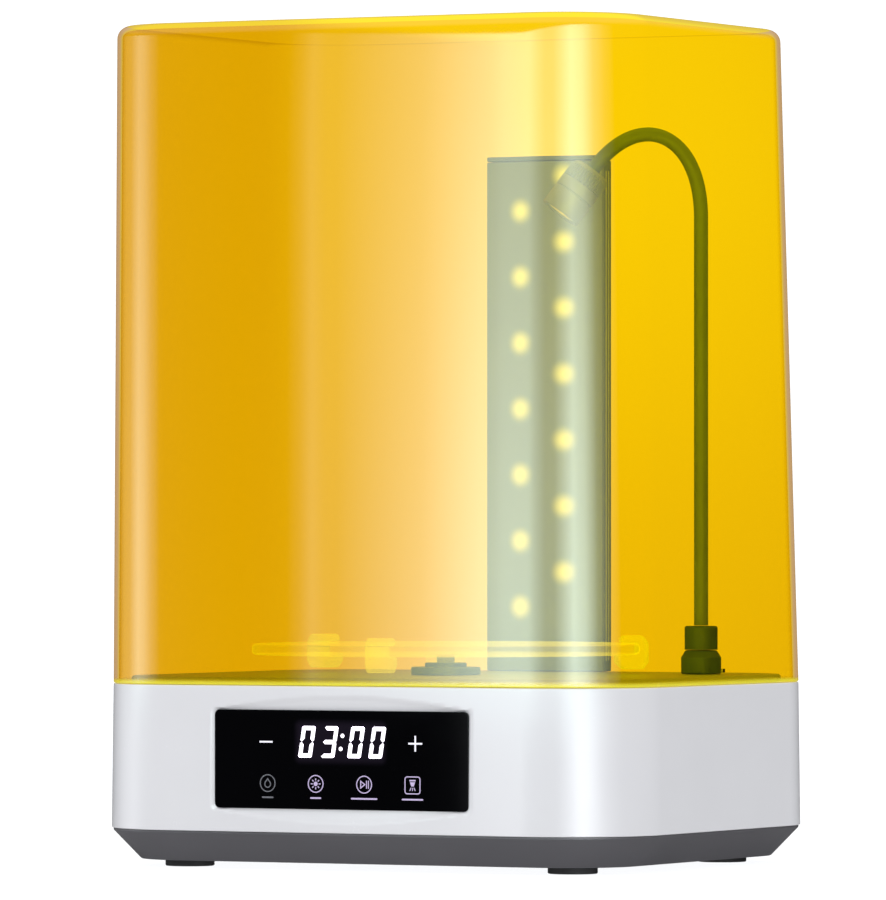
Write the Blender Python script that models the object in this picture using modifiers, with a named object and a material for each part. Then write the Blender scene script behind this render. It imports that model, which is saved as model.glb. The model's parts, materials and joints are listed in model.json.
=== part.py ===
"""Resin wash-and-cure station: base with touch display, curing turntable, lamp tower, bendable lamp, lift-off hood.

Metres, +Z up. The origin is on the floor under the middle of the machine, and the front faces -Y.
"""

import math

import bmesh
import bpy
from mathutils import Matrix, Vector

MM = 0.001
GAP = 0.3 * MM

# Driving dimensions of the machine
WIDTH = 337 * MM
DEPTH = 280 * MM
HEIGHT = 470 * MM
CORNER = 58 * MM
FOOT_HEIGHT = 4 * MM
TRAY_TOP = 21.4 * MM
DECK_TOP = 102.4 * MM
CHAMFER = 16.4 * MM

# Base housing
WALL = 4 * MM
BASE_DRAFT = 1 * MM
RIM_WIDTH = 22 * MM
RIM_THICKNESS = 4 * MM

# Hood
HOOD_WALL = 3 * MM
HOOD_SIDE_DRAFT = 4.6 * MM
HOOD_BACK_DRAFT = 18.5 * MM
HOOD_FILLET = 7 * MM

# Raised deck plate inside the hood
DECK_INSET = 7 * MM
DECK_RAISE = 4 * MM
DECK_SKIN = 3 * MM
DECK_SKIRT = 8 * MM

# Touch display on the front
GLASS_WIDTH = 158 * MM
GLASS_HEIGHT = 54.5 * MM
GLASS_THICKNESS = 2 * MM
GLASS_Z = 61.6 * MM
PAD_ARCH = 7 * MM
PAD_DEPTH = 1 * MM

# Rear wall: a shallow recess that holds the power inlet and the rocker switch
REAR_RECESS = 2.4 * MM
REAR_Z = 52 * MM
REAR_Y = DEPTH / 2 - BASE_DRAFT - REAR_RECESS
RECESS_X = 68 * MM
RECESS_SIZE = (78 * MM, 28 * MM)
INLET_X = 88 * MM
SWITCH_X = 50 * MM
ROCKER_PIVOT = -1.2 * MM
ROCKER_TILT = math.radians(7)

# Feet and their screws
FOOT_RADIUS = 13.75 * MM
FOOT_X = 120 * MM
FOOT_Y = 94 * MM

# Turntable drive
HUB_Y = -14.3 * MM
SHAFT_RADIUS = 4 * MM
SHAFT_LOW = 62 * MM
DISC_RADIUS = 109 * MM
DISC_LOW = 118 * MM
DISC_HIGH = 124 * MM
BLOCK_INNER = 97.5 * MM
BLOCK_OUTER = 115.2 * MM
BLOCK_WIDTH = 13 * MM
BLOCK_LOW = 109.4 * MM
BLOCK_HIGH = 128.4 * MM
BLOCK_ANGLES = {"left": 158, "front": 278, "right": 38}

# Lamp tower at the back
TOWER_HALF = 37.2 * MM
TOWER_FOLD_Y = 103.5 * MM
TOWER_EDGE_Y = 108 * MM
TOWER_BACK_Y = 119.6 * MM
TOWER_TOP = 402.5 * MM
TOWER_WALL = 2 * MM
LED_COUNT = 7
LED_PITCH = 37.9 * MM
LED_OFFSET = 14 * MM
LED_TOP_LEFT = 371 * MM
LED_TOP_RIGHT = 391 * MM

# Bendable lamp
LAMP_X = 118 * MM
LAMP_Y = 71 * MM
LAMP_DIRECTION = math.radians(215)
NECK_RADIUS = 4 * MM
NECK_BOTTOM = 134 * MM
NECK_BEND = 364 * MM
HOOK_TOP = 411 * MM
HOOK_REACH = 30 * MM
HEAD_RADIUS = 12 * MM
HEAD_LENGTH = 31 * MM
HEAD_FACE_OUT = 80.5 * MM
HEAD_FACE_Z = 366 * MM
HEAD_DROP = math.radians(53)
BEND_GAP = 2.4 * MM

ROUND = 32
SMALL_ROUND = 20
CORNER_STEPS = 7


# ---------------------------------------------------------------- scene set-up

def clear_scene():
    for old in list(bpy.data.objects):
        bpy.data.objects.remove(old, do_unlink=True)


def new_collection(name):
    collection = bpy.data.collections.new(name)
    bpy.context.scene.collection.children.link(collection)
    return collection


clear_scene()
PARTS = new_collection("wash_and_cure_station")
CUTTERS = new_collection("cutters")


def finish(name, rgb, roughness, metallic=0.0, alpha=1.0):
    material = bpy.data.materials.new(name)
    material.use_nodes = True
    shader = material.node_tree.nodes["Principled BSDF"]
    shader.inputs["Base Color"].default_value = (*rgb, 1.0)
    shader.inputs["Roughness"].default_value = roughness
    shader.inputs["Metallic"].default_value = metallic
    shader.inputs["Alpha"].default_value = alpha
    return material


# ---------------------------------------------------------------- shape helpers

def add_object(name, mesh, material, location=(0, 0, 0), parent=None):
    """Puts a mesh in the parts collection at a world location, under an optional empty."""
    thing = bpy.data.objects.new(name, mesh)
    PARTS.objects.link(thing)
    thing.location = Vector(location)
    if parent is not None:
        thing.parent = parent
        thing.location -= parent.location
    if material is not None:
        thing.data.materials.append(material)
    return thing


def add_axis(name, location):
    """An empty on a joint's axis, which the moving pieces hang on."""
    empty = bpy.data.objects.new(name, None)
    PARTS.objects.link(empty)
    empty.location = location
    return empty


def mesh_from(shape, name):
    mesh = bpy.data.meshes.new(name)
    bmesh.ops.recalc_face_normals(shape, faces=shape.faces)
    shape.to_mesh(mesh)
    shape.free()
    return mesh


def rounded_outline(width, depth, radius, center_y=0.0, steps=CORNER_STEPS):
    """Points of a rounded rectangle, anticlockwise from the right front corner."""
    points = []
    corners = [(1, -1, -90), (1, 1, 0), (-1, 1, 90), (-1, -1, 180)]
    for side_x, side_y, start in corners:
        for step in range(steps + 1):
            angle = math.radians(start + 90 * step / steps)
            x = side_x * (width / 2 - radius) + radius * math.cos(angle)
            y = side_y * (depth / 2 - radius) + radius * math.sin(angle) + center_y
            points.append((x, y))
    return points


def loft_mesh(name, sections, closed=False):
    """Joins outlines with equal counts of points; closed joins the last to the first."""
    shape = bmesh.new()
    rings = [[shape.verts.new((x, y, z)) for x, y in outline] for outline, z in sections]
    pairs = list(zip(rings, rings[1:]))
    if closed:
        pairs.append((rings[-1], rings[0]))
    for low, high in pairs:
        for index in range(len(low)):
            after = (index + 1) % len(low)
            shape.faces.new((low[index], low[after], high[after], high[index]))
    if not closed:
        shape.faces.new(rings[0])
        shape.faces.new(rings[-1])
    return mesh_from(shape, name)


def box_mesh(name, size, center=(0, 0, 0)):
    shape = bmesh.new()
    bmesh.ops.create_cube(shape, size=1.0)
    bmesh.ops.scale(shape, vec=Vector(size), verts=shape.verts)
    bmesh.ops.translate(shape, vec=Vector(center), verts=shape.verts)
    return mesh_from(shape, name)


def cylinder_mesh(name, radius, low, high, segments=ROUND):
    shape = bmesh.new()
    bmesh.ops.create_cone(shape, cap_ends=True, segments=segments,
                          radius1=radius, radius2=radius, depth=high - low)
    bmesh.ops.translate(shape, vec=(0, 0, (low + high) / 2), verts=shape.verts)
    return mesh_from(shape, name)


def add_box(name, low, high, material, parent=None):
    size = Vector(high) - Vector(low)
    center = (Vector(high) + Vector(low)) / 2
    return add_object(name, box_mesh(name, size), material, center, parent)


def add_cylinder(name, radius, low, high, material, at=(0, 0), parent=None, segments=ROUND):
    mesh = cylinder_mesh(name, radius, 0, high - low, segments)
    return add_object(name, mesh, material, (at[0], at[1], low), parent)


def add_turned(name, profile, material, location=(0, 0, 0), parent=None, steps=ROUND, loop=False):
    """Turns a profile of (radius, height) about Z; it runs down its outer side."""
    mesh = bpy.data.meshes.new(name)
    count = len(profile)
    edges = [(i, i + 1) for i in range(count - 1)]
    if loop:
        edges.append((count - 1, 0))
    mesh.from_pydata([(radius, 0, height) for radius, height in profile], edges, [])
    thing = add_object(name, mesh, material, location, parent)
    screw = thing.modifiers.new("turn", "SCREW")
    screw.steps = steps
    screw.render_steps = steps
    screw.use_merge_vertices = True
    screw.merge_threshold = 0.00005
    screw.use_smooth_shade = True
    return thing


def add_tube(name, points, radius, material, parent=None, sides=3):
    """A round tube along world points, as a curve with filled caps."""
    curve = bpy.data.curves.new(name, "CURVE")
    curve.dimensions = "3D"
    curve.bevel_depth = radius
    curve.bevel_resolution = sides
    curve.use_fill_caps = True
    spline = curve.splines.new("POLY")
    spline.points.add(len(points) - 1)
    origin = parent.location if parent is not None else Vector((0, 0, 0))
    for point, place in zip(spline.points, points):
        point.co = (*(Vector(place) - origin), 1)
    thing = bpy.data.objects.new(name, curve)
    PARTS.objects.link(thing)
    if parent is not None:
        thing.parent = parent
    curve.materials.append(material)
    return thing


def combine(thing, mesh, location, operation):
    """Adds or removes a shape with an exact Boolean; the helper stays in the cutters."""
    helper = bpy.data.objects.new(f"{thing.name}_{operation.lower()}_{len(thing.modifiers)}", mesh)
    CUTTERS.objects.link(helper)
    helper.location = location
    helper.hide_render = True
    helper.display_type = "WIRE"
    modifier = thing.modifiers.new(operation.lower(), "BOOLEAN")
    modifier.operation = operation
    modifier.solver = "EXACT"
    modifier.object = helper
    return helper


def cut(thing, mesh, location=(0, 0, 0)):
    return combine(thing, mesh, location, "DIFFERENCE")


def join(thing, mesh, location=(0, 0, 0)):
    return combine(thing, mesh, location, "UNION")


def inset_outline(amount):
    """The machine's footprint, drawn in by the same amount all round."""
    return rounded_outline(WIDTH - 2 * amount, DEPTH - 2 * amount, CORNER - amount)


# ---------------------------------------------------------------- finishes

WHITE = finish("white_housing", (0.83, 0.83, 0.86), 0.35)
GREY_TRAY = finish("grey_tray", (0.10, 0.10, 0.11), 0.45)
BLACK_RUBBER = finish("black_rubber", (0.02, 0.02, 0.02), 0.8)
STEEL = finish("steel", (0.6, 0.6, 0.6), 0.3, 1.0)
DECK_GREY = finish("deck_grey", (0.14, 0.15, 0.15), 0.45)
BLACK_GLASS = finish("black_glass", (0.006, 0.006, 0.008), 0.08)
BOARD = finish("circuit_board", (0.02, 0.12, 0.05), 0.5)
BLACK_PLASTIC = finish("black_plastic", (0.025, 0.025, 0.025), 0.5)
BRASS = finish("brass", (0.75, 0.55, 0.2), 0.3, 1.0)
AMBER = finish("amber_hood", (0.95, 0.55, 0.0), 0.05, 0.0, 0.35)
CLEAR = finish("clear_turntable", (0.95, 0.9, 0.5), 0.15, 0.0, 0.5)
TOWER_GREY = finish("tower_grey", (0.35, 0.36, 0.36), 0.4)
DIFFUSER = finish("lamp_diffuser", (0.75, 0.76, 0.76), 0.35, 0.0, 0.8)
LED_WHITE = finish("led_strip", (0.85, 0.85, 0.8), 0.4)
MAGNET = finish("magnet", (0.3, 0.3, 0.3), 0.35, 1.0)


# ---------------------------------------------------------------- base

def add_bottom_tray():
    top = TRAY_TOP - GAP
    floor = 2.5 * MM
    wall_inset = 3 * MM
    sections = [
        (inset_outline(CHAMFER), FOOT_HEIGHT),
        (inset_outline(1 * MM), top - 1 * MM),
        (inset_outline(1 * MM), top),
        (inset_outline(1 * MM + wall_inset), top),
        (inset_outline(CHAMFER + wall_inset), FOOT_HEIGHT + floor),
    ]
    tray = add_object("bottom_tray", loft_mesh("bottom_tray", sections), GREY_TRAY)
    for row in range(3):
        for column in range(-2, 3):
            slot = box_mesh("vent_slot", (28 * MM, 3 * MM, 4 * floor))
            cut(tray, slot, (column * 36 * MM, (row - 1) * 12 * MM - 50 * MM, FOOT_HEIGHT + floor / 2))
    for x, y in foot_places().values():
        join(tray, cylinder_mesh("foot_boss", 5 * MM, 5 * MM, 15 * MM, SMALL_ROUND), (x, y, 0))
        cut(tray, cylinder_mesh("foot_hole", 2.3 * MM, 0, 20 * MM, SMALL_ROUND), (x, y, 0))


def foot_places():
    return {
        "front_left": (-FOOT_X, -FOOT_Y),
        "front_right": (FOOT_X, -FOOT_Y),
        "rear_left": (-FOOT_X, FOOT_Y),
        "rear_right": (FOOT_X, FOOT_Y),
    }


def add_feet():
    """A rubber foot with a sunk screw at each corner; the screw runs up through the tray."""
    top = FOOT_HEIGHT - GAP
    foot = [
        (5 * MM, 0), (5 * MM, 2.2 * MM), (2.3 * MM, 2.2 * MM), (2.3 * MM, top),
        (FOOT_RADIUS, top), (FOOT_RADIUS, 0.8 * MM), (FOOT_RADIUS - 0.8 * MM, 0),
    ]
    screw = [
        (0, 14 * MM), (2 * MM, 14 * MM), (2 * MM, 1.9 * MM), (4.6 * MM, 1.9 * MM),
        (4.6 * MM, 1.0 * MM), (3.6 * MM, 0.4 * MM), (0, 0.4 * MM),
    ]
    for corner, (x, y) in foot_places().items():
        add_turned("foot_" + corner, foot, BLACK_RUBBER, (x, y, 0), steps=24, loop=True)
        add_turned("foot_screw_" + corner, screw, STEEL, (x, y, 0), steps=16)


def pad_outline():
    """The display's sunk surround: straight short ends with arched long edges."""
    half = GLASS_WIDTH / 2 + 0.6 * MM
    side = GLASS_HEIGHT / 2 + 0.6 * MM
    steps = 12
    lower = []
    for step in range(steps + 1):
        x = half * (2 * step / steps - 1)
        lower.append((x, -side - PAD_ARCH * math.cos(math.pi / 2 * x / half)))
    return lower + [(-x, -y) for x, y in lower]


def front_facing(mesh):
    """Turns a shape drawn flat so that its face looks forward and its long side is level."""
    mesh.transform(Matrix.Rotation(math.pi / 2, 4, "X"))
    return mesh


def prism_mesh(name, outline, low, high):
    return loft_mesh(name, [(outline, low), (outline, high)])


def front_face_y():
    """Where the front wall's outer face is, at the middle of the display."""
    return -DEPTH / 2 + BASE_DRAFT * (GLASS_Z - TRAY_TOP) / (DECK_TOP - TRAY_TOP)


def add_base_housing():
    top = DECK_TOP - GAP
    sections = [
        (inset_outline(0), TRAY_TOP),
        (inset_outline(BASE_DRAFT), top - 0.6 * MM),
        (inset_outline(BASE_DRAFT + 0.6 * MM), top),
        (inset_outline(RIM_WIDTH), top),
        (inset_outline(RIM_WIDTH), top - RIM_THICKNESS),
        (inset_outline(BASE_DRAFT + WALL), top - RIM_THICKNESS),
        (inset_outline(WALL), TRAY_TOP),
    ]
    housing = add_object("base_housing", loft_mesh("base_housing", sections, closed=True), WHITE)
    face = front_face_y()
    surround = front_facing(prism_mesh("surround", pad_outline(), -PAD_DEPTH, 6 * MM))
    cut(housing, surround, (0, face, GLASS_Z))
    seat_outline = rounded_outline(GLASS_WIDTH + 2 * GAP, GLASS_HEIGHT + 2 * GAP, 3 * MM, steps=3)
    seat = front_facing(prism_mesh("glass_seat", seat_outline, -GLASS_THICKNESS - 0.6 * MM, 6 * MM))
    cut(housing, seat, (0, face, GLASS_Z))
    window = box_mesh("display_window", (GLASS_WIDTH - 12 * MM, 30 * MM, GLASS_HEIGHT - 12 * MM))
    cut(housing, window, (0, face, GLASS_Z))
    recess = box_mesh("rear_recess", (RECESS_SIZE[0], 12 * MM, RECESS_SIZE[1]))
    cut(housing, recess, (RECESS_X, REAR_Y + 6 * MM, REAR_Z))
    inlet = cylinder_mesh("inlet_hole", 5.6 * MM, -10 * MM, 10 * MM, SMALL_ROUND)
    inlet.transform(Matrix.Rotation(math.pi / 2, 4, "X"))
    cut(housing, inlet, (INLET_X, REAR_Y, REAR_Z))
    cut(housing, box_mesh("switch_hole", (19.6 * MM, 20 * MM, 12.6 * MM)), (SWITCH_X, REAR_Y, REAR_Z))


def add_display():
    """Glass in the front wall, and behind it the touch board with the digit module."""
    face = front_face_y()
    outline = rounded_outline(GLASS_WIDTH, GLASS_HEIGHT, 3 * MM, steps=3)
    glass = front_facing(prism_mesh("touch_glass", outline, -GLASS_THICKNESS / 2, GLASS_THICKNESS / 2))
    front = face + GLASS_THICKNESS / 2 + 0.15 * MM
    add_object("touch_glass", glass, BLACK_GLASS, (0, front, GLASS_Z))
    back = face + GLASS_THICKNESS + 1 * MM
    add_box("digit_display", (-30 * MM, back, GLASS_Z - 1 * MM),
            (30 * MM, back + 7 * MM, GLASS_Z + 20 * MM), BLACK_PLASTIC)
    add_box("icon_light_guide", (-56 * MM, back, GLASS_Z - 20 * MM),
            (56 * MM, back + 7 * MM, GLASS_Z - 5 * MM), DIFFUSER)
    board_y = back + 7 * MM + GAP
    add_box("touch_board", (-72 * MM, board_y, GLASS_Z - 23 * MM),
            (72 * MM, board_y + 1.6 * MM, GLASS_Z + 23 * MM), BOARD)


def add_power_entry():
    """The low-voltage inlet and the rocker switch in the rear wall."""
    outer = REAR_Y + 1.4 * MM
    inner = REAR_Y - 14 * MM
    length = outer - inner
    floor = 2 * MM
    backward = (-math.pi / 2, 0, 0)
    socket = [
        (0, floor), (2.8 * MM, floor), (2.8 * MM, length), (7.4 * MM, length),
        (7.4 * MM, length - 1.1 * MM), (5.3 * MM, length - 1.1 * MM), (5.3 * MM, 0), (0, 0),
    ]
    inlet = add_turned("power_inlet", socket, BLACK_PLASTIC, (INLET_X, inner, REAR_Z), steps=24)
    inlet.rotation_euler = backward
    pin = add_cylinder("inlet_pin", 1.1 * MM, 0, 10 * MM, BRASS, segments=12)
    pin.rotation_euler = backward
    pin.location = (INLET_X, inner + floor + GAP, REAR_Z)
    frame = add_box("switch_frame", (SWITCH_X - 11.5 * MM, REAR_Y + GAP, REAR_Z - 7.5 * MM),
                    (SWITCH_X + 11.5 * MM, REAR_Y + 1.8 * MM, REAR_Z + 7.5 * MM), BLACK_PLASTIC)
    body_depth = 16 * MM
    join(frame, box_mesh("switch_body", (19 * MM, body_depth, 12 * MM)),
         (SWITCH_X, REAR_Y + 1.8 * MM - body_depth / 2, REAR_Z))
    cut(frame, box_mesh("rocker_well", (17 * MM, 24 * MM, 10 * MM)),
        (SWITCH_X, REAR_Y + 4.8 * MM, REAR_Z))
    pivot = add_axis("rocker_axis", (SWITCH_X, REAR_Y + ROCKER_PIVOT, REAR_Z))
    half = 8 * MM
    under = -2.4 * MM
    raised = 2.6 * MM
    dip = 1.6 * MM
    outline = [(-half, under), (half, under), (half, raised), (0, dip), (-half, raised)]
    rocker = prism_mesh("power_rocker", outline, -4.6 * MM, 4.6 * MM)
    rocker.transform(Matrix.Rotation(ROCKER_TILT, 4, "Z"))
    add_object("power_rocker", rocker, BLACK_PLASTIC, pivot.location, pivot)


def add_main_board():
    floor = FOOT_HEIGHT + 2.5 * MM
    board = add_box("main_board", (-60 * MM, 40 * MM, floor + 6 * MM),
                    (50 * MM, 104 * MM, floor + 7.6 * MM), BOARD)
    for x, y in ((-54, 46), (-54, 98), (44, 46), (44, 98)):
        join(board, cylinder_mesh("standoff", 2.5 * MM, GAP, 7 * MM, 12), (x * MM, y * MM, floor))
    chips = [(-30, 70, 24, 18, 8), (5, 60, 16, 14, 6), (28, 84, 20, 12, 11), (-40, 92, 26, 8, 9)]
    for x, y, long, wide, tall in chips:
        join(board, box_mesh("component", (long * MM, wide * MM, tall * MM)),
             (x * MM, y * MM, floor + 7 * MM + tall * MM / 2))
    add_cylinder("buzzer", 6 * MM, floor + 7.6 * MM + GAP, floor + 17 * MM, BLACK_PLASTIC,
                 (36 * MM, 60 * MM), segments=SMALL_ROUND)


# ---------------------------------------------------------------- deck and drive

def hub_location():
    return Vector((0, HUB_Y, 0))


def add_deck_plate():
    top = DECK_TOP + DECK_RAISE
    boss = RIM_WIDTH + 0.6 * MM
    flange = BASE_DRAFT + HOOD_WALL + DECK_INSET
    sections = [
        (inset_outline(boss + DECK_SKIN), top - DECK_SKIN),
        (inset_outline(boss + DECK_SKIN), DECK_TOP - DECK_SKIRT),
        (inset_outline(boss), DECK_TOP - DECK_SKIRT),
        (inset_outline(boss), DECK_TOP),
        (inset_outline(flange), DECK_TOP),
        (inset_outline(flange), top - 1.5 * MM),
        (inset_outline(flange + 0.5 * MM), top - 0.5 * MM),
        (inset_outline(flange + 1.5 * MM), top),
    ]
    deck = add_object("deck_plate", loft_mesh("deck_plate", sections), DECK_GREY)
    hub = hub_location()
    cut(deck, cylinder_mesh("seal_hole", 11.3 * MM, 0, 200 * MM), hub)
    cut(deck, cylinder_mesh("socket_hole", 9.3 * MM, 0, 200 * MM), (LAMP_X, LAMP_Y, 0))


def add_drive():
    deck_under = DECK_TOP + DECK_RAISE - DECK_SKIN
    plate_low = 88 * MM
    plate_high = plate_low + 3 * MM
    hub = hub_location()
    bracket = add_box("motor_bracket", (-34 * MM, HUB_Y - 24 * MM, plate_low),
                      (34 * MM, HUB_Y + 24 * MM, plate_high), STEEL)
    for side_x in (-1, 1):
        for side_y in (-1, 1):
            place = (side_x * 29 * MM, HUB_Y + side_y * 19 * MM, 0)
            pillar = cylinder_mesh("pillar", 3.5 * MM, plate_low + 1 * MM, deck_under - GAP, 12)
            join(bracket, pillar, place)
    cut(bracket, cylinder_mesh("bearing_hole", 11.3 * MM, 50 * MM, 100 * MM), hub)
    motor_top = plate_low - GAP
    can = 18.5 * MM
    bore = SHAFT_RADIUS + GAP
    motor = [
        (0, SHAFT_LOW - GAP), (bore, SHAFT_LOW - GAP), (bore, motor_top), (can - 0.5 * MM, motor_top),
        (can - 0.5 * MM, 72 * MM), (can, 72 * MM), (can, 42 * MM), (can - 1 * MM, 41 * MM),
        (6 * MM, 41 * MM), (6 * MM, 38 * MM), (0, 38 * MM),
    ]
    add_turned("drive_motor", motor, STEEL, hub)
    for index, angle in enumerate((45, 135, 225, 315)):
        x = 14.5 * MM * math.cos(math.radians(angle))
        y = 14.5 * MM * math.sin(math.radians(angle)) + HUB_Y
        screw = [(0, 2.2 * MM), (2.6 * MM, 2.2 * MM), (2.6 * MM, 0), (0, 0)]
        add_turned(f"motor_screw_{index + 1}", screw, STEEL, (x, y, plate_high + GAP), steps=12)
    bearing_high = plate_low + 6 * MM
    bearing = [(11 * MM, bearing_high), (11 * MM, plate_low), (bore, plate_low), (bore, bearing_high)]
    add_turned("shaft_bearing", bearing, STEEL, hub, loop=True)
    seal_high = DECK_TOP + DECK_RAISE - 0.3 * MM
    seal = [(11 * MM, seal_high), (11 * MM, deck_under), (bore, deck_under), (bore, seal_high)]
    add_turned("shaft_seal", seal, BLACK_RUBBER, hub, loop=True)


def add_spindle():
    """Everything the motor turns: its shaft, the hub and the ring magnet in the hub."""
    axis = add_axis("spindle_axis", hub_location())
    add_cylinder("motor_shaft", SHAFT_RADIUS, SHAFT_LOW, 112 * MM, STEEL, (0, HUB_Y), axis, SMALL_ROUND)
    low = DECK_TOP + DECK_RAISE + GAP
    groove_top = 109.8 * MM
    groove_in = 11.7 * MM
    groove_out = 17.3 * MM
    bore = SHAFT_RADIUS + GAP
    hub = [
        (0, 117.4 * MM), (5 * MM, 117.4 * MM), (5 * MM, 113.4 * MM), (11.2 * MM, 113.4 * MM),
        (11.75 * MM, 112.9 * MM), (11.75 * MM, 111 * MM), (18.9 * MM, 111 * MM), (19.5 * MM, 110.4 * MM),
        (19.5 * MM, low), (groove_out, low), (groove_out, groove_top), (groove_in, groove_top),
        (groove_in, low), (bore, low), (bore, 112.3 * MM), (0, 112.3 * MM),
    ]
    add_turned("drive_hub", hub, DECK_GREY, hub_location(), axis)
    ring_low = low + GAP
    ring_high = groove_top - GAP
    ring = [(17 * MM, ring_high), (17 * MM, ring_low), (12 * MM, ring_low), (12 * MM, ring_high)]
    add_turned("hub_magnet_ring", ring, MAGNET, hub_location(), axis, loop=True)


def add_turntable():
    axis = add_axis("turntable_axis", hub_location())
    edge = 1.6 * MM
    boss = 11 * MM
    socket = 5.3 * MM
    disc = [
        (0, DISC_HIGH), (DISC_RADIUS - edge, DISC_HIGH), (DISC_RADIUS, DISC_HIGH - edge),
        (DISC_RADIUS, DISC_LOW + edge), (DISC_RADIUS - edge, DISC_LOW), (boss, DISC_LOW),
        (boss, 113.7 * MM), (socket, 113.7 * MM), (socket, 117.8 * MM), (0, 117.8 * MM),
    ]
    add_turned("turntable_disc", disc, CLEAR, hub_location(), axis, steps=64)
    for side, degrees in BLOCK_ANGLES.items():
        turn = Matrix.Rotation(math.radians(degrees), 4, "Z")
        outline = block_outline()
        mesh = prism_mesh("rim_block_" + side, outline, -BLOCK_WIDTH / 2, BLOCK_WIDTH / 2)
        mesh.transform(turn @ Matrix.Rotation(math.pi / 2, 4, "X"))
        add_object("rim_block_" + side, mesh, CLEAR, hub_location(), axis)


def block_outline():
    """Side view of a rim block, radius across and height up, with the slot the disc's edge sits in."""
    slot_end = DISC_RADIUS + GAP
    low = DISC_LOW - GAP
    high = DISC_HIGH + GAP
    edge = 1.5 * MM
    return [
        (BLOCK_INNER, low), (BLOCK_INNER, 113 * MM), (BLOCK_INNER + 4 * MM, BLOCK_LOW),
        (BLOCK_OUTER - 3 * MM, BLOCK_LOW), (BLOCK_OUTER, 113 * MM), (BLOCK_OUTER, 124 * MM),
        (BLOCK_OUTER - 2 * MM, BLOCK_HIGH - edge), (BLOCK_OUTER - 2 * MM - edge, BLOCK_HIGH),
        (BLOCK_INNER + 5 * MM, BLOCK_HIGH), (BLOCK_INNER + 3 * MM, BLOCK_HIGH - edge),
        (BLOCK_INNER + 3 * MM, high), (slot_end, high), (slot_end, low),
    ]


# ---------------------------------------------------------------- lamp tower

def tower_outline(inset, front_inset):
    """Plan of the tower: a shallow fold at the front and square corners at the back."""
    return [
        (-TOWER_HALF + inset, TOWER_BACK_Y - inset),
        (-TOWER_HALF + inset, TOWER_EDGE_Y + front_inset),
        (0, TOWER_FOLD_Y + front_inset),
        (TOWER_HALF - inset, TOWER_EDGE_Y + front_inset),
        (TOWER_HALF - inset, TOWER_BACK_Y - inset),
    ]


def add_tower():
    low = DECK_TOP + DECK_RAISE + GAP
    shell_front = 3.2 * MM
    shell_outline = tower_outline(0, shell_front)
    housing = add_object("tower_housing", prism_mesh("tower_housing", shell_outline, low, TOWER_TOP - 3 * MM),
                         TOWER_GREY)
    hollow = [
        (-TOWER_HALF + TOWER_WALL, TOWER_BACK_Y - TOWER_WALL),
        (-TOWER_HALF + TOWER_WALL, TOWER_EDGE_Y - 10 * MM),
        (TOWER_HALF - TOWER_WALL, TOWER_EDGE_Y - 10 * MM),
        (TOWER_HALF - TOWER_WALL, TOWER_BACK_Y - TOWER_WALL),
    ]
    cut(housing, prism_mesh("tower_hollow", hollow, low + 2 * MM, HEIGHT))
    front = tower_front_band(0, shell_front - GAP)
    add_object("tower_diffuser", prism_mesh("tower_diffuser", front, low, TOWER_TOP - 3 * MM), DIFFUSER)
    cap_outline = tower_outline(0, 0)
    add_object("tower_cap", prism_mesh("tower_cap", cap_outline, TOWER_TOP - 3 * MM + GAP, TOWER_TOP), TOWER_GREY)
    add_led_strips(low)


def tower_front_band(near, far):
    """Plan of a folded sheet between two distances behind the tower's front face."""
    return [
        (-TOWER_HALF, TOWER_EDGE_Y + far), (-TOWER_HALF, TOWER_EDGE_Y + near), (0, TOWER_FOLD_Y + near),
        (TOWER_HALF, TOWER_EDGE_Y + near), (TOWER_HALF, TOWER_EDGE_Y + far), (0, TOWER_FOLD_Y + far),
    ]


def add_led_strips(low):
    """One strip behind each half of the diffuser, with a lens bump for each lamp."""
    fold_depth = TOWER_EDGE_Y - TOWER_FOLD_Y
    slope = math.atan2(fold_depth, TOWER_HALF)
    middle_y = TOWER_FOLD_Y + fold_depth * LED_OFFSET / TOWER_HALF + 8.2 * MM
    for side, sign, top in (("left", -1, LED_TOP_LEFT), ("right", 1, LED_TOP_RIGHT)):
        lowest = top - (LED_COUNT - 1) * LED_PITCH
        board_low = min(lowest - 12 * MM, low + 20 * MM)
        height = TOWER_TOP - 8 * MM - board_low
        strip_mesh = box_mesh("strip", (24 * MM, 1.6 * MM, height))
        place = Vector((sign * LED_OFFSET, middle_y, board_low + height / 2))
        strip = add_object("uv_strip_" + side, strip_mesh, LED_WHITE, place)
        strip.rotation_euler = (0, 0, sign * slope)
        for index in range(LED_COUNT):
            lens = cylinder_mesh("lens", 2.6 * MM, 0, 3 * MM, 12)
            lens.transform(Matrix.Rotation(math.pi / 2, 4, "X"))
            helper = join(strip, lens, (place.x, place.y, lowest + index * LED_PITCH))
            helper.rotation_euler = (0, 0, sign * slope)


# ---------------------------------------------------------------- bendable lamp

def lamp_point(out, height):
    """A point in the lamp's own upright plane: a distance out from its plug, and a height."""
    return Vector((LAMP_X + out * math.cos(LAMP_DIRECTION), LAMP_Y + out * math.sin(LAMP_DIRECTION), height))


def bezier(start, first, second, end, steps):
    """Points of a cubic curve through (out, height) pairs, the start left out."""
    points = []
    for step in range(1, steps + 1):
        t = step / steps
        weights = ((1 - t) ** 3, 3 * t * (1 - t) ** 2, 3 * t * t * (1 - t), t ** 3)
        controls = (start, first, second, end)
        points.append(tuple(sum(w * c[i] for w, c in zip(weights, controls)) for i in (0, 1)))
    return points


def head_point(along):
    """A point on the lamp head's axis, measured back from its face."""
    return (HEAD_FACE_OUT - along * math.cos(HEAD_DROP), HEAD_FACE_Z + along * math.sin(HEAD_DROP))


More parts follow.
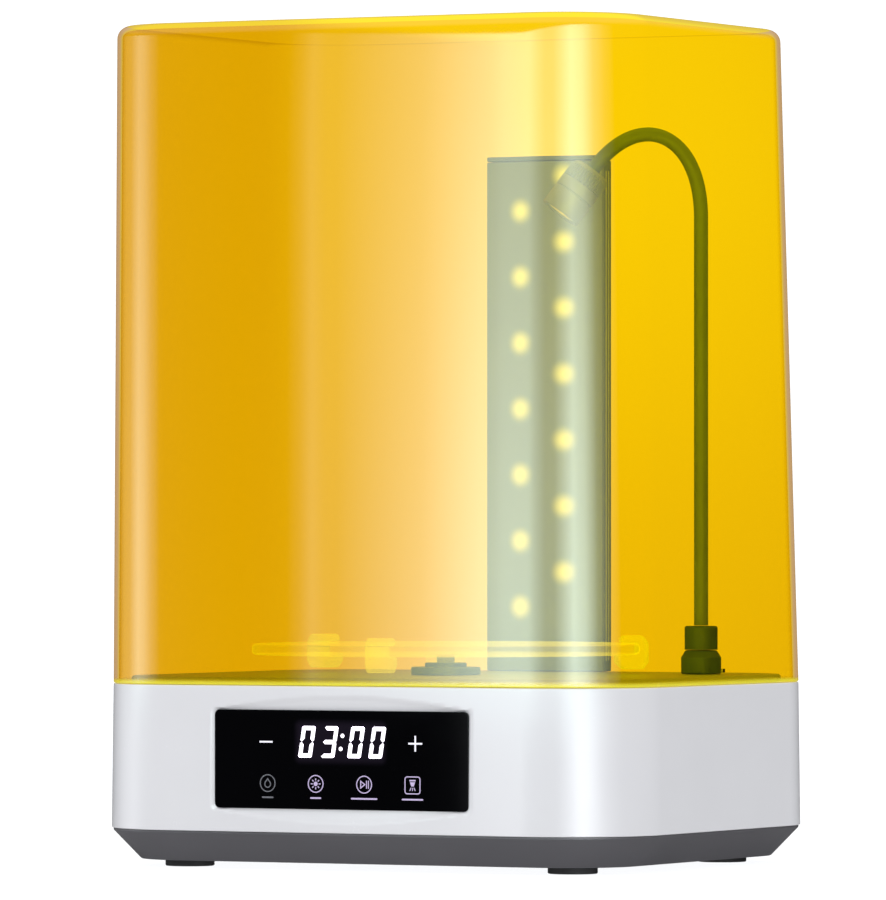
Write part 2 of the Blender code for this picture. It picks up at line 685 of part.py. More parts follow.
def add_lamp():
    plug_axis = add_axis("lamp_plug_axis", (LAMP_X, LAMP_Y, DECK_TOP))
    swivel_axis = add_axis("lamp_swivel_axis", (LAMP_X, LAMP_Y, NECK_BOTTOM))
    bend_axis = add_axis("lamp_bend_axis", lamp_point(HOOK_REACH, HOOK_TOP))
    add_lamp_plug(plug_axis)
    low_neck = [(0, NECK_BOTTOM), (0, 190 * MM), (0, 250 * MM), (0, 310 * MM), (0, NECK_BEND)]
    rise = (0, NECK_BEND + 32 * MM)
    gap = BEND_GAP / 2
    top_start = (HOOK_REACH - gap, HOOK_TOP)
    low_neck += bezier((0, NECK_BEND), rise, (HOOK_REACH / 2, HOOK_TOP), top_start, 10)
    add_tube("neck_lower", [lamp_point(*p) for p in low_neck], NECK_RADIUS, BLACK_PLASTIC, swivel_axis)
    top_end = (HOOK_REACH + gap, HOOK_TOP)
    neck_end = head_point(HEAD_LENGTH + GAP)
    lead = head_point(HEAD_LENGTH + 11 * MM)
    high_neck = [top_end] + bezier(top_end, (HOOK_REACH + 14 * MM, HOOK_TOP), lead, neck_end, 8)
    add_tube("neck_upper", [lamp_point(*p) for p in high_neck], NECK_RADIUS, BLACK_PLASTIC, bend_axis)
    add_lamp_head(bend_axis)


def add_lamp_plug(axis):
    deck = DECK_TOP + DECK_RAISE
    place = (LAMP_X, LAMP_Y, 0)
    socket = [
        (9 * MM, deck), (9 * MM, 92 * MM), (5 * MM, 92 * MM), (5 * MM, deck),
    ]
    add_turned("lamp_socket", socket, BLACK_PLASTIC, place, steps=24, loop=True)
    lower = [
        (0, 120 * MM), (9.6 * MM, 120 * MM), (11.3 * MM, 117 * MM), (11.3 * MM, deck + GAP),
        (4.6 * MM, deck + GAP), (4.6 * MM, 94 * MM), (0, 94 * MM),
    ]
    add_turned("plug_body", lower, BLACK_PLASTIC, place, axis, steps=24)
    upper = [
        (0, NECK_BOTTOM - GAP), (8.6 * MM, NECK_BOTTOM - GAP), (9.3 * MM, NECK_BOTTOM - 1 * MM),
        (9.3 * MM, 120 * MM + GAP), (0, 120 * MM + GAP),
    ]
    add_turned("plug_sleeve", upper, BLACK_PLASTIC, place, axis, steps=24)


def add_lamp_head(axis):
    """The head is turned about its own axis, face at zero, then tipped to point down at the turntable."""
    tip = Matrix.Rotation(LAMP_DIRECTION, 4, "Z") @ Matrix.Rotation(HEAD_DROP + math.pi / 2, 4, "Y")
    face = lamp_point(*head_point(0))
    collar_start = HEAD_LENGTH - 11 * MM
    body = [
        (0, -collar_start + GAP), (HEAD_RADIUS, -collar_start + GAP), (HEAD_RADIUS, -1 * MM),
        (HEAD_RADIUS - 1 * MM, 0), (HEAD_RADIUS - 2 * MM, 0), (HEAD_RADIUS - 2 * MM, -14 * MM), (0, -14 * MM),
    ]
    collar = [
        (0, -HEAD_LENGTH), (8 * MM, -HEAD_LENGTH), (HEAD_RADIUS, -HEAD_LENGTH + 2 * MM),
        (HEAD_RADIUS, -collar_start), (0, -collar_start),
    ]
    board = [(0, -13.7 * MM), (9.5 * MM, -13.7 * MM), (9.5 * MM, -11.7 * MM), (0, -11.7 * MM)]
    lens = [(0, -5 * MM), (9.7 * MM, -5 * MM), (9.7 * MM, -1 * MM), (7 * MM, -0.4 * MM), (0, -0.4 * MM)]
    pieces = {
        "lamp_head": (body, BLACK_PLASTIC), "head_collar": (collar, BLACK_PLASTIC),
        "lamp_led_board": (board, LED_WHITE), "lamp_lens": (lens, DIFFUSER),
    }
    for name, (profile, material) in pieces.items():
        piece = add_turned(name, profile[::-1], material, face, axis, steps=28)
        piece.rotation_euler = tip.to_euler()


# ---------------------------------------------------------------- hood

def hood_outline(rise, inset):
    """The hood's plan at a share of its height, drawn in by a wall or a fillet."""
    side = HOOD_SIDE_DRAFT * rise
    back = HOOD_BACK_DRAFT * rise
    width = WIDTH - 2 * (BASE_DRAFT + side + inset)
    depth = DEPTH - 2 * (BASE_DRAFT + inset) - back
    radius = CORNER - BASE_DRAFT - inset - 0.3 * back
    return rounded_outline(width, depth, radius, -back / 2)


def hood_side(low, high, inset, fillet, steps):
    """Outlines up one side of the hood wall and round its top edge."""
    height = HEIGHT - DECK_TOP
    sections = [(hood_outline((low - DECK_TOP) / height, inset), low)]
    for step in range(steps + 1):
        angle = math.pi / 2 * step / steps
        z = high - fillet + fillet * math.sin(angle)
        draw_in = fillet * (1 - math.cos(angle))
        sections.append((hood_outline((z - DECK_TOP) / height, inset + draw_in), z))
    return sections


def add_hood():
    outer = hood_side(DECK_TOP, HEIGHT, 0, HOOD_FILLET, 4)
    inner = hood_side(DECK_TOP, HEIGHT - HOOD_WALL, HOOD_WALL, HOOD_FILLET - HOOD_WALL, 3)
    sections = outer[::-1] + inner
    axis = add_axis("hood_lift_axis", (0, 0, DECK_TOP))
    mesh = loft_mesh("uv_hood", sections)
    mesh.transform(Matrix.Translation((0, 0, -DECK_TOP)))
    add_object("uv_hood", mesh, AMBER, (0, 0, DECK_TOP), axis)
    y = DEPTH / 2 - BASE_DRAFT - HOOD_WALL - GAP
    add_box("hood_magnet", (88 * MM, y - 3 * MM, DECK_TOP + 0.4 * MM), (102 * MM, y - 0.4 * MM, DECK_TOP + 6 * MM),
            MAGNET, axis)
    under = DECK_TOP - GAP - RIM_THICKNESS - GAP
    add_box("hood_sensor", (86 * MM, y - 12 * MM, under - 5 * MM), (104 * MM, y - 3 * MM, under), BOARD)


add_bottom_tray()
add_feet()
add_base_housing()
add_display()
add_power_entry()
add_main_board()
add_deck_plate()
add_drive()
add_spindle()
add_turntable()
add_tower()
add_lamp()
add_hood()
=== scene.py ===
# %% [markdown]
# # A resin wash and cure station
# This lesson dresses a finished CAD model of a countertop machine: an amber hood over a turntable, a light tower and a
# bendable lamp, on a white base with a touch display. The CAD model is loaded as a fixed frame and never changed. Each
# fine piece below is made in the same metres and the same axes and takes its place from the box of the CAD node it
# stands for, and each but the gooseneck rides on a body of the frame so that it moves with the joints.

# %% Load the frame
import json
import math

import bmesh
import bpy
from mathutils import Matrix, Vector


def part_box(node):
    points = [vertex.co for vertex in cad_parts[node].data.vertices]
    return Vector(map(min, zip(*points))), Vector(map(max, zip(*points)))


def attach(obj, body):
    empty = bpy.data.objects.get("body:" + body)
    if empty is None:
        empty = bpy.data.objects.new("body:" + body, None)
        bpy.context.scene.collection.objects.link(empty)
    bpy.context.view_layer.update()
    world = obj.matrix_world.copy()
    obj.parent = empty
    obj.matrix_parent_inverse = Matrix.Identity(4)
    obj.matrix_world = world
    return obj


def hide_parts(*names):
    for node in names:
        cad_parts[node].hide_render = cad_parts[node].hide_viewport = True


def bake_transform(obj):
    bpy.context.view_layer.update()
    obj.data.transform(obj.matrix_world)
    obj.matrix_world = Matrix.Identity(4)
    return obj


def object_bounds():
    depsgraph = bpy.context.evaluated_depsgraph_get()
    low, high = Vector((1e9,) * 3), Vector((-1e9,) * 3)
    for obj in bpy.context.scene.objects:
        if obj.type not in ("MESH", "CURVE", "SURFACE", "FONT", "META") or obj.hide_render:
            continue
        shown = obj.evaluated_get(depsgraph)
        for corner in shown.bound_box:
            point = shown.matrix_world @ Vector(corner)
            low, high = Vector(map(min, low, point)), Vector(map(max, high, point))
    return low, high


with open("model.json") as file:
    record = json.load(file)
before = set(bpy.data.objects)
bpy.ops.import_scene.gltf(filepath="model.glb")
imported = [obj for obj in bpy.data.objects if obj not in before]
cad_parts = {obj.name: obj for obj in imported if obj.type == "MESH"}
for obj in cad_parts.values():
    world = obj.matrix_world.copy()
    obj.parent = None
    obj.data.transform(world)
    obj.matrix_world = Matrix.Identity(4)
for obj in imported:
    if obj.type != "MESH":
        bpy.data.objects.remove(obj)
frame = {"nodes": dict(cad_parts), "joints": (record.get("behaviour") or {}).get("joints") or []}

MM = 0.001
cad_low, cad_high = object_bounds()
print("CAD box in mm:", [round(v / MM, 1) for v in (*cad_low, *cad_high)])

# %% [markdown]
# The camera comes first, because it decides what needs fine detail. The machine is looked at from the right
# of its front, almost level, through a long lens, so its upright edges stay upright. The aim is a point near
# the middle of the machine, and the lens has no shift and no depth of field.

# %% Camera
VIEW_TURN = math.radians(27.5)
VIEW_DISTANCE = 4.905
VIEW_HEIGHT = 0.1955
VIEW_AIM_HEIGHT = 0.2329
VIEW_AIM_SIDE = -0.0082
VIEW_LENS = 348.2

view_back = Vector((math.sin(VIEW_TURN), -math.cos(VIEW_TURN), 0))
view_right = Vector((math.cos(VIEW_TURN), math.sin(VIEW_TURN), 0))


def aim_at(thing, place, target):
    """Puts a camera or lamp at a place and turns it to look at a target."""
    thing.location = place
    thing.rotation_euler = (Vector(target) - Vector(place)).to_track_quat("-Z", "Y").to_euler()


camera_data = bpy.data.cameras.new("studio_camera")
camera_data.lens = VIEW_LENS
camera_data.clip_end = 60
camera = bpy.data.objects.new("studio_camera", camera_data)
bpy.context.scene.collection.objects.link(camera)
camera_place = view_back * VIEW_DISTANCE + Vector((0, 0, VIEW_HEIGHT))
camera_target = view_right * VIEW_AIM_SIDE + Vector((0, 0, VIEW_AIM_HEIGHT))
aim_at(camera, camera_place, camera_target)
bpy.context.scene.camera = camera
print("camera at", [round(v, 3) for v in camera_place])

# %% [markdown]
# The machine stands on white, as in a shop listing. The world is white where the camera sees it, dimmer as a
# light, and almost dark where something mirrors it, as a studio is away from its lamps, apart from a pale
# ceiling. The soft boxes only light. What shiny pieces mirror is a screen of its own, further on. Colours are
# shown with the Standard transform, so a white background stays white.

# %% World and lamps
WORLD_LIGHT = 0.90
WORLD_SEEN = 1.17
WORLD_MIRRORED = 0.015
OVERHEAD_MIRRORED = 0.5
CEILING_START, CEILING_END = 0.09, 0.5

bpy.context.scene.view_settings.view_transform = "Standard"
world = bpy.data.worlds.new("white_studio")
world.use_nodes = True
world_tree = world.node_tree
world_shader = world_tree.nodes["Background"]
world_shader.inputs["Color"].default_value = (0.97, 0.98, 1.0, 1)
world_path = world_tree.nodes.new("ShaderNodeLightPath")
world_direction = world_tree.nodes.new("ShaderNodeTexCoord")
world_axes = world_tree.nodes.new("ShaderNodeSeparateXYZ")
world_tree.links.new(world_direction.outputs["Generated"], world_axes.inputs[0])
overhead = world_tree.nodes.new("ShaderNodeMapRange")
overhead.interpolation_type = "SMOOTHSTEP"
world_tree.links.new(world_axes.outputs["Z"], overhead.inputs["Value"])
for name, value in (("From Min", CEILING_START), ("From Max", CEILING_END),
                    ("To Min", WORLD_MIRRORED), ("To Max", OVERHEAD_MIRRORED)):
    overhead.inputs[name].default_value = value


def world_switch(ray, otherwise, then):
    """One strength for rays of a kind, and another for the rest; either may be a number or a socket."""
    switch = world_tree.nodes.new("ShaderNodeMix")
    world_tree.links.new(world_path.outputs[ray], switch.inputs[0])
    for number, value in ((2, otherwise), (3, then)):
        if isinstance(value, float):
            switch.inputs[number].default_value = value
        else:
            world_tree.links.new(value, switch.inputs[number])
    return switch.outputs[0]


strength = world_switch("Is Glossy Ray", WORLD_LIGHT, overhead.outputs["Result"])
strength = world_switch("Is Camera Ray", strength, WORLD_SEEN)
world_tree.links.new(strength, world_shader.inputs["Strength"])
bpy.context.scene.world = world


def add_lamp(name, place, target, size, power):
    """A soft box: a square that shines on the target and isn't mirrored."""
    data = bpy.data.lights.new(name, "AREA")
    data.energy = power
    data.shape = "SQUARE"
    data.size = size
    lamp = bpy.data.objects.new(name, data)
    bpy.context.scene.collection.objects.link(lamp)
    aim_at(lamp, place, target)
    lamp.visible_glossy = False


machine_middle = (cad_low + cad_high) / 2
add_lamp("top_box", (0, -0.3, 2.6), (0, 0, 0), 2.6, 30)
add_lamp("front_box", (-1.2, -2.8, 1.1), machine_middle, 1.6, 2)
add_lamp("rear_box", (-0.6, 1.6, 0.9), machine_middle, 0.8, 7)

# %% [markdown]
# ## Writing shader maths as expressions
# A finish is a small network of nodes. The class below wraps one socket, so that `1 - mask * 0.2` adds the
# Math nodes for it, and one method adds any other node from its type, its settings and its inputs.

# %% Shader helpers
class Wire:
    """A socket in a finish's node tree, with arithmetic."""

    def __init__(self, tree, socket):
        self.tree = tree
        self.socket = socket

    def maths(self, operation, *values):
        """A Math node with this wire as its first value."""
        return add_node(self.tree, "ShaderNodeMath", {"operation": operation}, dict(enumerate((self, *values))))

    def __add__(self, other):
        return self.maths("ADD", other)

    def __mul__(self, other):
        return self.maths("MULTIPLY", other)

    def __sub__(self, other):
        return self.maths("SUBTRACT", other)

    def __rsub__(self, other):
        return add_node(self.tree, "ShaderNodeMath", {"operation": "SUBTRACT"}, {0: other, 1: self})

    def __truediv__(self, other):
        return self.maths("DIVIDE", other)

    __radd__ = __add__
    __rmul__ = __mul__

    def size(self):
        return self.maths("ABSOLUTE")

    def at_least(self, lowest):
        return self.maths("MAXIMUM", lowest)

    def away(self, other):
        """The distance from the origin of a point that has this wire and another as its places."""
        return (self * self + other * other).maths("SQRT")

    def step(self, low, high):
        """A smooth step from 0 at low to 1 at high."""
        settings = {"interpolation_type": "SMOOTHSTEP"}
        return add_node(self.tree, "ShaderNodeMapRange", settings, {0: self, 1: low, 2: high})


def add_node(tree, kind, settings=None, inputs=None, output=0):
    """Adds a node: settings first, then inputs by name or number, and returns one of its outputs."""
    node = tree.nodes.new(kind)
    for name, value in (settings or {}).items():
        if name == "stops":
            set_stops(node.color_ramp, value)
        else:
            setattr(node, name, value)
    for name, value in (inputs or {}).items():
        if isinstance(value, Wire):
            tree.links.new(value.socket, node.inputs[name])
        else:
            node.inputs[name].default_value = value
    return Wire(tree, node.outputs[output])


def set_stops(ramp, stops):
    """Gives a colour ramp its stops, each a place and a colour."""
    while len(ramp.elements) > 1:
        ramp.elements.remove(ramp.elements[-1])
    for index, (place, colour) in enumerate(stops):
        element = ramp.elements[0] if index == 0 else ramp.elements.new(place)
        element.position = place
        element.color = (*colour, 1)


def object_place(tree):
    """The X, Y and Z of a point on the piece, in metres, as three wires."""
    return split(add_node(tree, "ShaderNodeTexCoord", output="Object"))


def split(vector):
    """The three parts of a vector."""
    node = vector.tree.nodes.new("ShaderNodeSeparateXYZ")
    vector.tree.links.new(vector.socket, node.inputs[0])
    return [Wire(vector.tree, socket) for socket in node.outputs]


def noise(tree, scale, detail):
    """Cloudy noise in the piece's own metres, 0 to 1."""
    place = add_node(tree, "ShaderNodeTexCoord", output="Object")
    return add_node(tree, "ShaderNodeTexNoise", {}, {"Vector": place, "Scale": scale, "Detail": detail})


def blend_colours(tree, factor, first, second):
    """A colour between two others."""
    def colour(value):
        return value if isinstance(value, Wire) else (*value, 1)

    inputs = {0: factor, 6: colour(first), 7: colour(second)}
    return add_node(tree, "ShaderNodeMix", {"data_type": "RGBA"}, inputs, output=2)


def blend_shaders(tree, share, first, second):
    """The first shader, with a share of the second."""
    return add_node(tree, "ShaderNodeMixShader", {}, {0: share, 1: first, 2: second})


def see_through(tree, colour=(1, 1, 1)):
    """Light that passes straight through, tinted."""
    return add_node(tree, "ShaderNodeBsdfTransparent", {}, {"Color": (*colour, 1)})


def facing(tree):
    """0 where a face is met straight on, 1 where it is met edge-on."""
    return add_node(tree, "ShaderNodeLayerWeight", {}, {"Blend": 0.5}, output=1)


def bump(tree, height, depth, strength=0.5):
    """A bumped normal from a height of 0 to 1, whose full depth is in metres."""
    return add_node(tree, "ShaderNodeBump", {}, {"Strength": strength, "Distance": depth, "Height": height})


def new_tree(name):
    """An empty finish, ready for its nodes."""
    material = bpy.data.materials.new(name)
    material.use_nodes = True
    material.node_tree.nodes.clear()
    return material, material.node_tree


def close_tree(tree, shader):
    """Links the last shader to the finish's output."""
    output = tree.nodes.new("ShaderNodeOutputMaterial")
    tree.links.new(shader.socket, output.inputs["Surface"])


def principled(tree, **inputs):
    """A Principled shader; underscores in names stand for spaces."""
    named = {name.replace("_", " "): value for name, value in inputs.items()}
    return add_node(tree, "ShaderNodeBsdfPrincipled", {}, named)


def plain_finish(name, colour, roughness, grain, depth, spread, **more):
    """Moulded or machined stock: a faint cloud in the colour, an uneven sheen and a fine grain."""
    material, tree = new_tree(name)
    cloud = noise(tree, 22, 2)
    fine = noise(tree, grain, 4)
    darker = tuple(c * (1 - 2 * spread) for c in colour)
    lighter = tuple(min(1, c * (1 + spread)) for c in colour)
    shade = blend_colours(tree, cloud, darker, lighter)
    sheen = (cloud - 0.5) * 0.12 + (fine - 0.5) * 0.08 + roughness
    shader = principled(tree, Base_Color=shade, Roughness=sheen, Normal=bump(tree, fine, depth), **more)
    close_tree(tree, shader)
    return material


print("shader helpers ready")

# %% [markdown]
# ## The floor and the lit screen
# The floor is a wide pale sheet that lets most of the white world through, so it takes a faint shadow near the
# machine. It fades away with its distance from the middle. The lit screen is a piece of a cylinder round the machine's
# front. Nobody sees it and it casts no light or shadow: it is there only to be mirrored, and gives the hood its haze
# and the corners their bright bands. Its light follows the bearing from the machine's middle, in degrees to the right
# of straight ahead, through a ramp of listed stops.
# Both belong to the studio and not to the machine.

# %% Floor
def studio_sheet(name, rows, finish):
    """An open sheet from rows of points, marked as a part of the studio."""
    shape = bmesh.new()
    grid = [[shape.verts.new(point) for point in row] for row in rows]
    for lower, upper in zip(grid, grid[1:]):
        for index in range(len(lower) - 1):
            shape.faces.new((lower[index], lower[index + 1], upper[index + 1], upper[index]))
    mesh = bpy.data.meshes.new(name)
    shape.to_mesh(mesh)
    shape.free()
    mesh.materials.append(finish)
    thing = bpy.data.objects.new(name, mesh)
    bpy.context.scene.collection.objects.link(thing)
    return thing


def floor_finish():
    """A pale matt sheet, faint near the machine and gone far from it."""
    material, tree = new_tree("pale_floor")
    x, y, _ = object_place(tree)
    share = (1 - x.away(y).step(FLOOR_FADE_START, FLOOR_FADE_END)) * FLOOR_SHARE
    matt = add_node(tree, "ShaderNodeBsdfDiffuse", {}, {"Color": (0.9, 0.9, 0.9, 1)})
    close_tree(tree, blend_shaders(tree, share, see_through(tree), matt))
    return material


FLOOR_HALF = 3.0
FLOOR_SHARE = 0.16
FLOOR_FADE_START, FLOOR_FADE_END = 0.3, 1.3
floor_rows = [[(x * FLOOR_HALF, y * FLOOR_HALF, 0) for x in (-1, 1)] for y in (-1, 1)]
studio_sheet("studio_floor", floor_rows, floor_finish())
print("floor laid")

# %% Lit screen
SCREEN_RADIUS = 0.62
SCREEN_FOOT = -0.3
SCREEN_STEP = 0.088
SCREEN_TOP = 0.53
SCREEN_FULL = 8.5
HOOD_STOPS = (
    (-96, 0), (-84, 0.6), (-74, 0.9), (-62, 3.0), (-55, 2.4), (-47, 1.0), (-38, 0.1), (-28, 0.01), (-24.8, 0.03),
    (-23.8, 1.0), (-22.8, 0.45), (-17.7, 2.5), (-14.4, 5.2), (-12, 6.5), (-3, 6.4), (6, 4.6), (14, 3.2), (22, 3.2),
    (28.5, 4.8), (38.5, 8.0), (48, 6.4), (58.5, 2.3), (69, 0.7), (80, 0),
)
BASE_STOPS = (
    (-96, 0), (-84, 0.5), (-66, 1.6), (-50, 0.2), (-18, 0.05), (-15.2, 0.1), (-13.8, 2.6), (-10, 2.8), (-5, 0.2),
    (4, 0), (25, 0), (34, 2.4), (42, 6.5), (50, 6.5), (57, 3.5), (64, 1.5), (76, 0.3), (80, 0),
)
HOOD_SCREEN_COLOUR = (0.78, 0.99, 0.96)
BASE_SCREEN_COLOUR = (0.94, 0.97, 1.0)


def screen_finish():
    """Light by bearing, a little weaker at the top, with stops of its own below the hood's foot."""
    material, tree = new_tree("lit_screen")
    x, y, z = object_place(tree)
    bearing = x.maths("ARCTAN2", y * -1.0) * math.degrees(1)
    first, last = HOOD_STOPS[0][0], HOOD_STOPS[-1][0]
    share = (bearing - first) / (last - first)
    ramps = []
    for stops in (BASE_STOPS, HOOD_STOPS):
        scaled = [((place - first) / (last - first), (light / SCREEN_FULL,) * 3) for place, light in stops]
        ramps.append(add_node(tree, "ShaderNodeValToRGB", {"stops": scaled}, {0: share}))
    upper = z.step(SCREEN_STEP - 0.004, SCREEN_STEP + 0.004)
    height = (1 - z.step(0.10, 0.50) * 0.40) * (1 - z.step(0.50, 0.64))
    strength = (ramps[1] * upper + ramps[0] * (1 - upper)) * SCREEN_FULL * height
    colour = blend_colours(tree, upper, BASE_SCREEN_COLOUR, HOOD_SCREEN_COLOUR)
    light = add_node(tree, "ShaderNodeVectorMath", {"operation": "SCALE"}, {0: colour, "Scale": strength})
    close_tree(tree, add_node(tree, "ShaderNodeEmission", {}, {"Color": light, "Strength": 1.0}))
    return material


def curved_screen(name, bearings, heights, finish):
    """A part of a cylinder round the machine, which is seen in mirrors alone."""
    turns = [math.radians(bearing) for bearing in bearings]
    rows = [[(SCREEN_RADIUS * math.sin(a), -SCREEN_RADIUS * math.cos(a), z) for a in turns] for z in heights]
    sheet = studio_sheet(name, rows, finish)
    for seen_by in ("camera", "diffuse", "shadow", "transmission"):
        setattr(sheet, "visible_" + seen_by, False)


screen_bearings = range(HOOD_STOPS[0][0], HOOD_STOPS[-1][0] + 1, 2)
curved_screen("lit_screen", screen_bearings, (SCREEN_FOOT, SCREEN_STEP, SCREEN_TOP), screen_finish())
print("screen reaches from", HOOD_STOPS[0][0], "to", HOOD_STOPS[-1][0], "degrees")

# %% Rear glow
# A warm panel behind the machine shows only where a face is met edge-on, and gives the hood its rosy outline.
REAR_BEARINGS = range(184, 236, 4)
REAR_HEIGHTS = (-0.1, 0.52)
material, tree = new_tree("rear_glow")
warmth = noise(tree, 1, 1)
glow_colour = blend_colours(tree, warmth, (1.0, 0.62, 0.50), (1.0, 0.72, 0.60))
close_tree(tree, add_node(tree, "ShaderNodeEmission", {}, {"Color": glow_colour, "Strength": 0.7}))
curved_screen("rear_glow", REAR_BEARINGS, REAR_HEIGHTS, material)
print("rear glow made")

# %% [markdown]
# ## The finishes
# Most of the machine is moulded plastic: a pale satin housing, a coarser dark tray, grey inner parts and
# black rubbery parts. Each gets the same kind of network with its own grain, because that is how such
# mouldings differ. The colours are linear values, so they look darker here than on screen.

# %% Moulded, rubber and metal finishes
white_shell = plain_finish("white_shell", (0.79, 0.79, 0.815), 0.24, 900, 0.000004, 0.012, Coat_Weight=0.25,
                           Coat_Roughness=0.10, Specular_IOR_Level=0.5)
tray_plastic = plain_finish("tray_plastic", (0.105, 0.102, 0.112), 0.42, 1400, 0.00005, 0.05)
hub_plastic = plain_finish("hub_plastic", (0.15, 0.25, 0.14), 0.36, 1200, 0.00002, 0.06)
tower_plastic = plain_finish("tower_plastic", (0.16, 0.26, 0.19), 0.34, 1100, 0.00002, 0.04)
tower_trim = plain_finish("tower_trim", (0.50, 0.64, 0.48), 0.30, 1100, 0.00002, 0.04)
foot_rubber = plain_finish("foot_rubber", (0.018, 0.018, 0.019), 0.72, 1600, 0.00008, 0.15)
neck_rubber = plain_finish("neck_rubber", (0.18, 0.31, 0.16), 0.48, 1500, 0.00004, 0.08)
plug_rubber = plain_finish("plug_rubber", (0.055, 0.14, 0.05), 0.50, 1500, 0.00004, 0.10)
head_plastic = plain_finish("head_plastic", (0.26, 0.38, 0.28), 0.34, 1300, 0.00003, 0.06)
black_plastic = plain_finish("black_plastic", (0.02, 0.02, 0.021), 0.42, 1300, 0.00004, 0.12)
screw_steel = plain_finish("screw_steel", (0.56, 0.56, 0.58), 0.30, 700, 0.00001, 0.05, Metallic=1.0)
motor_steel = plain_finish("motor_steel", (0.42, 0.42, 0.43), 0.36, 300, 0.00002, 0.08, Metallic=1.0)
magnet_nickel = plain_finish("magnet_nickel", (0.62, 0.60, 0.57), 0.18, 500, 0.00001, 0.04, Metallic=1.0)
inlet_brass = plain_finish("inlet_brass", (0.70, 0.48, 0.16), 0.25, 500, 0.00001, 0.05, Metallic=1.0)
strip_white = plain_finish("strip_white", (0.74, 0.74, 0.70), 0.42, 900, 0.00001, 0.03)
print("plain finishes made")


# %% Deck finish
def deck_finish(top):
    """Satin grey with a green cast, and a painted highlight that makes its rounded rim paler than its flat top."""
    material, tree = new_tree("deck_plastic")
    _, _, z = object_place(tree)
    # Painted highlight: the rounded rim gets a paler colour than the flat top, as if lit.
    painted_rim_highlight = 1 - z.step(top - 2.0 * MM, top - 0.3 * MM)
    cloud = noise(tree, 22, 2)
    flat = blend_colours(tree, cloud, (0.36, 0.48, 0.31), (0.38, 0.50, 0.33))
    shade = blend_colours(tree, painted_rim_highlight, flat, (0.60, 0.76, 0.48))
    fine = noise(tree, 1200, 3)
    close_tree(tree, principled(tree, Base_Color=shade, Roughness=fine * 0.1 + 0.36, Normal=bump(tree, fine, 0.00002)))
    return material


deck_plastic = deck_finish(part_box("deck_plate")[1].z)
print("deck finish made")

# %% [markdown]
# A circuit board is a green film over copper tracks. The tracks here are a grid of thin lines broken up by
# noise, a little lighter and glossier than the film between them.

# %% Circuit board finish
TRACK_EDGE = (0.3 * MM, 0.5 * MM)


def circuit_finish():
    """Green film over a broken grid of paler tracks."""
    material, tree = new_tree("circuit_board")
    x, y, z = object_place(tree)
    wander = noise(tree, 90, 2)
    lines = (x + y + z).maths("PINGPONG", 1.8 * MM)
    across = (x - y + z).maths("PINGPONG", 2.5 * MM)
    tracks = lines.step(*TRACK_EDGE) * across.step(*TRACK_EDGE) * wander.step(0.42, 0.5)
    shade = blend_colours(tree, tracks, (0.05, 0.20, 0.09), (0.012, 0.075, 0.03))
    sheen = tracks * 0.12 + 0.26
    close_tree(tree, principled(tree, Base_Color=shade, Roughness=sheen, Normal=bump(tree, tracks, 0.00004)))
    return material


circuit_green = circuit_finish()
print("circuit finish made")

# %% [markdown]
# The hood is a clear amber acrylic moulding 3 mm thick. Real glass shaders would bend the light and need many
# samples, and a thin wall hardly bends what is behind it. So each face of the wall lets light straight
# through with a tint, and a gloss is mixed in that grows towards the rim of the view. The growth is Schlick's
# rule on the Facing weight, because a Fresnel node inside a wall turns to a full mirror at a shallow angle,
# but it stops well short of a full mirror, and it is left off where a face is met from inside the wall. Where
# the outer skin turns away from the eye, the light comes through more of the acrylic, and the tint turns rosy.
# The left wall and the foot of the moulding are tinted a little deeper than the right wall and the top, as painted
# shade and painted light, and the factor between the two tints follows the place on the hood. The cut foot of the
# moulding has a painted yellow-green glow, which stands in for the light that such acrylic carries to its edges.

# %% Acrylic finishes
# The shaded tint is painted shade, for the left wall and the foot; the lit tint is painted light, for the right wall
# and the top.
AMBER_SHADED = (0.922, 0.775, 0.0)
AMBER_LIT = (0.984, 0.872, 0.0)
EDGE_TINT = (0.76, 0.60, 0.40)
FOOT_LIT_SHARE = 0.45
HOOD_GLOSS = 0.09
EDGE_GLOSS = 0.3
SCHLICK_POWER = 5.0
CLEAR_EDGE_GLOW = 0.50
FOOT_GLOW_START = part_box("uv_hood")[0].z + 0.6 * MM
FOOT_GLOW_END = FOOT_GLOW_START + 2.4 * MM
CLEAR_TINT = (0.985, 0.985, 0.90)


def tinted_pane(tree):
    """Straight-through light with painted light and shade: deep on the left, light on the right, deeper near the foot.
    """
    x, _, z = object_place(tree)
    # Painted light and shade: the share of the lit tint grows to the right and towards the top.
    painted_light_share = x.step(-0.052, -0.004) * (z.step(0.08, 0.42) * (1 - FOOT_LIT_SHARE) + FOOT_LIT_SHARE)
    return blend_shaders(tree, painted_light_share, see_through(tree, AMBER_SHADED), see_through(tree, AMBER_LIT))


def gloss_share(tree):
    """How much of a face is mirror: least straight on, over a third edge-on, none from inside the wall."""
    inside = add_node(tree, "ShaderNodeNewGeometry", output="Backfacing")
    return (facing(tree).maths("POWER", SCHLICK_POWER) * EDGE_GLOSS + HOOD_GLOSS) * (1 - inside)


def rosy_edged(tree, pane):
    """A pane that turns rosy where it is met edge-on, but not on the flat top."""
    _, _, rise = split(add_node(tree, "ShaderNodeNewGeometry", output="Normal"))
    at_edge = facing(tree).step(0.54, 0.78) * (1 - (rise * rise).step(0.92, 0.99))
    return blend_shaders(tree, at_edge, pane, see_through(tree, EDGE_TINT))


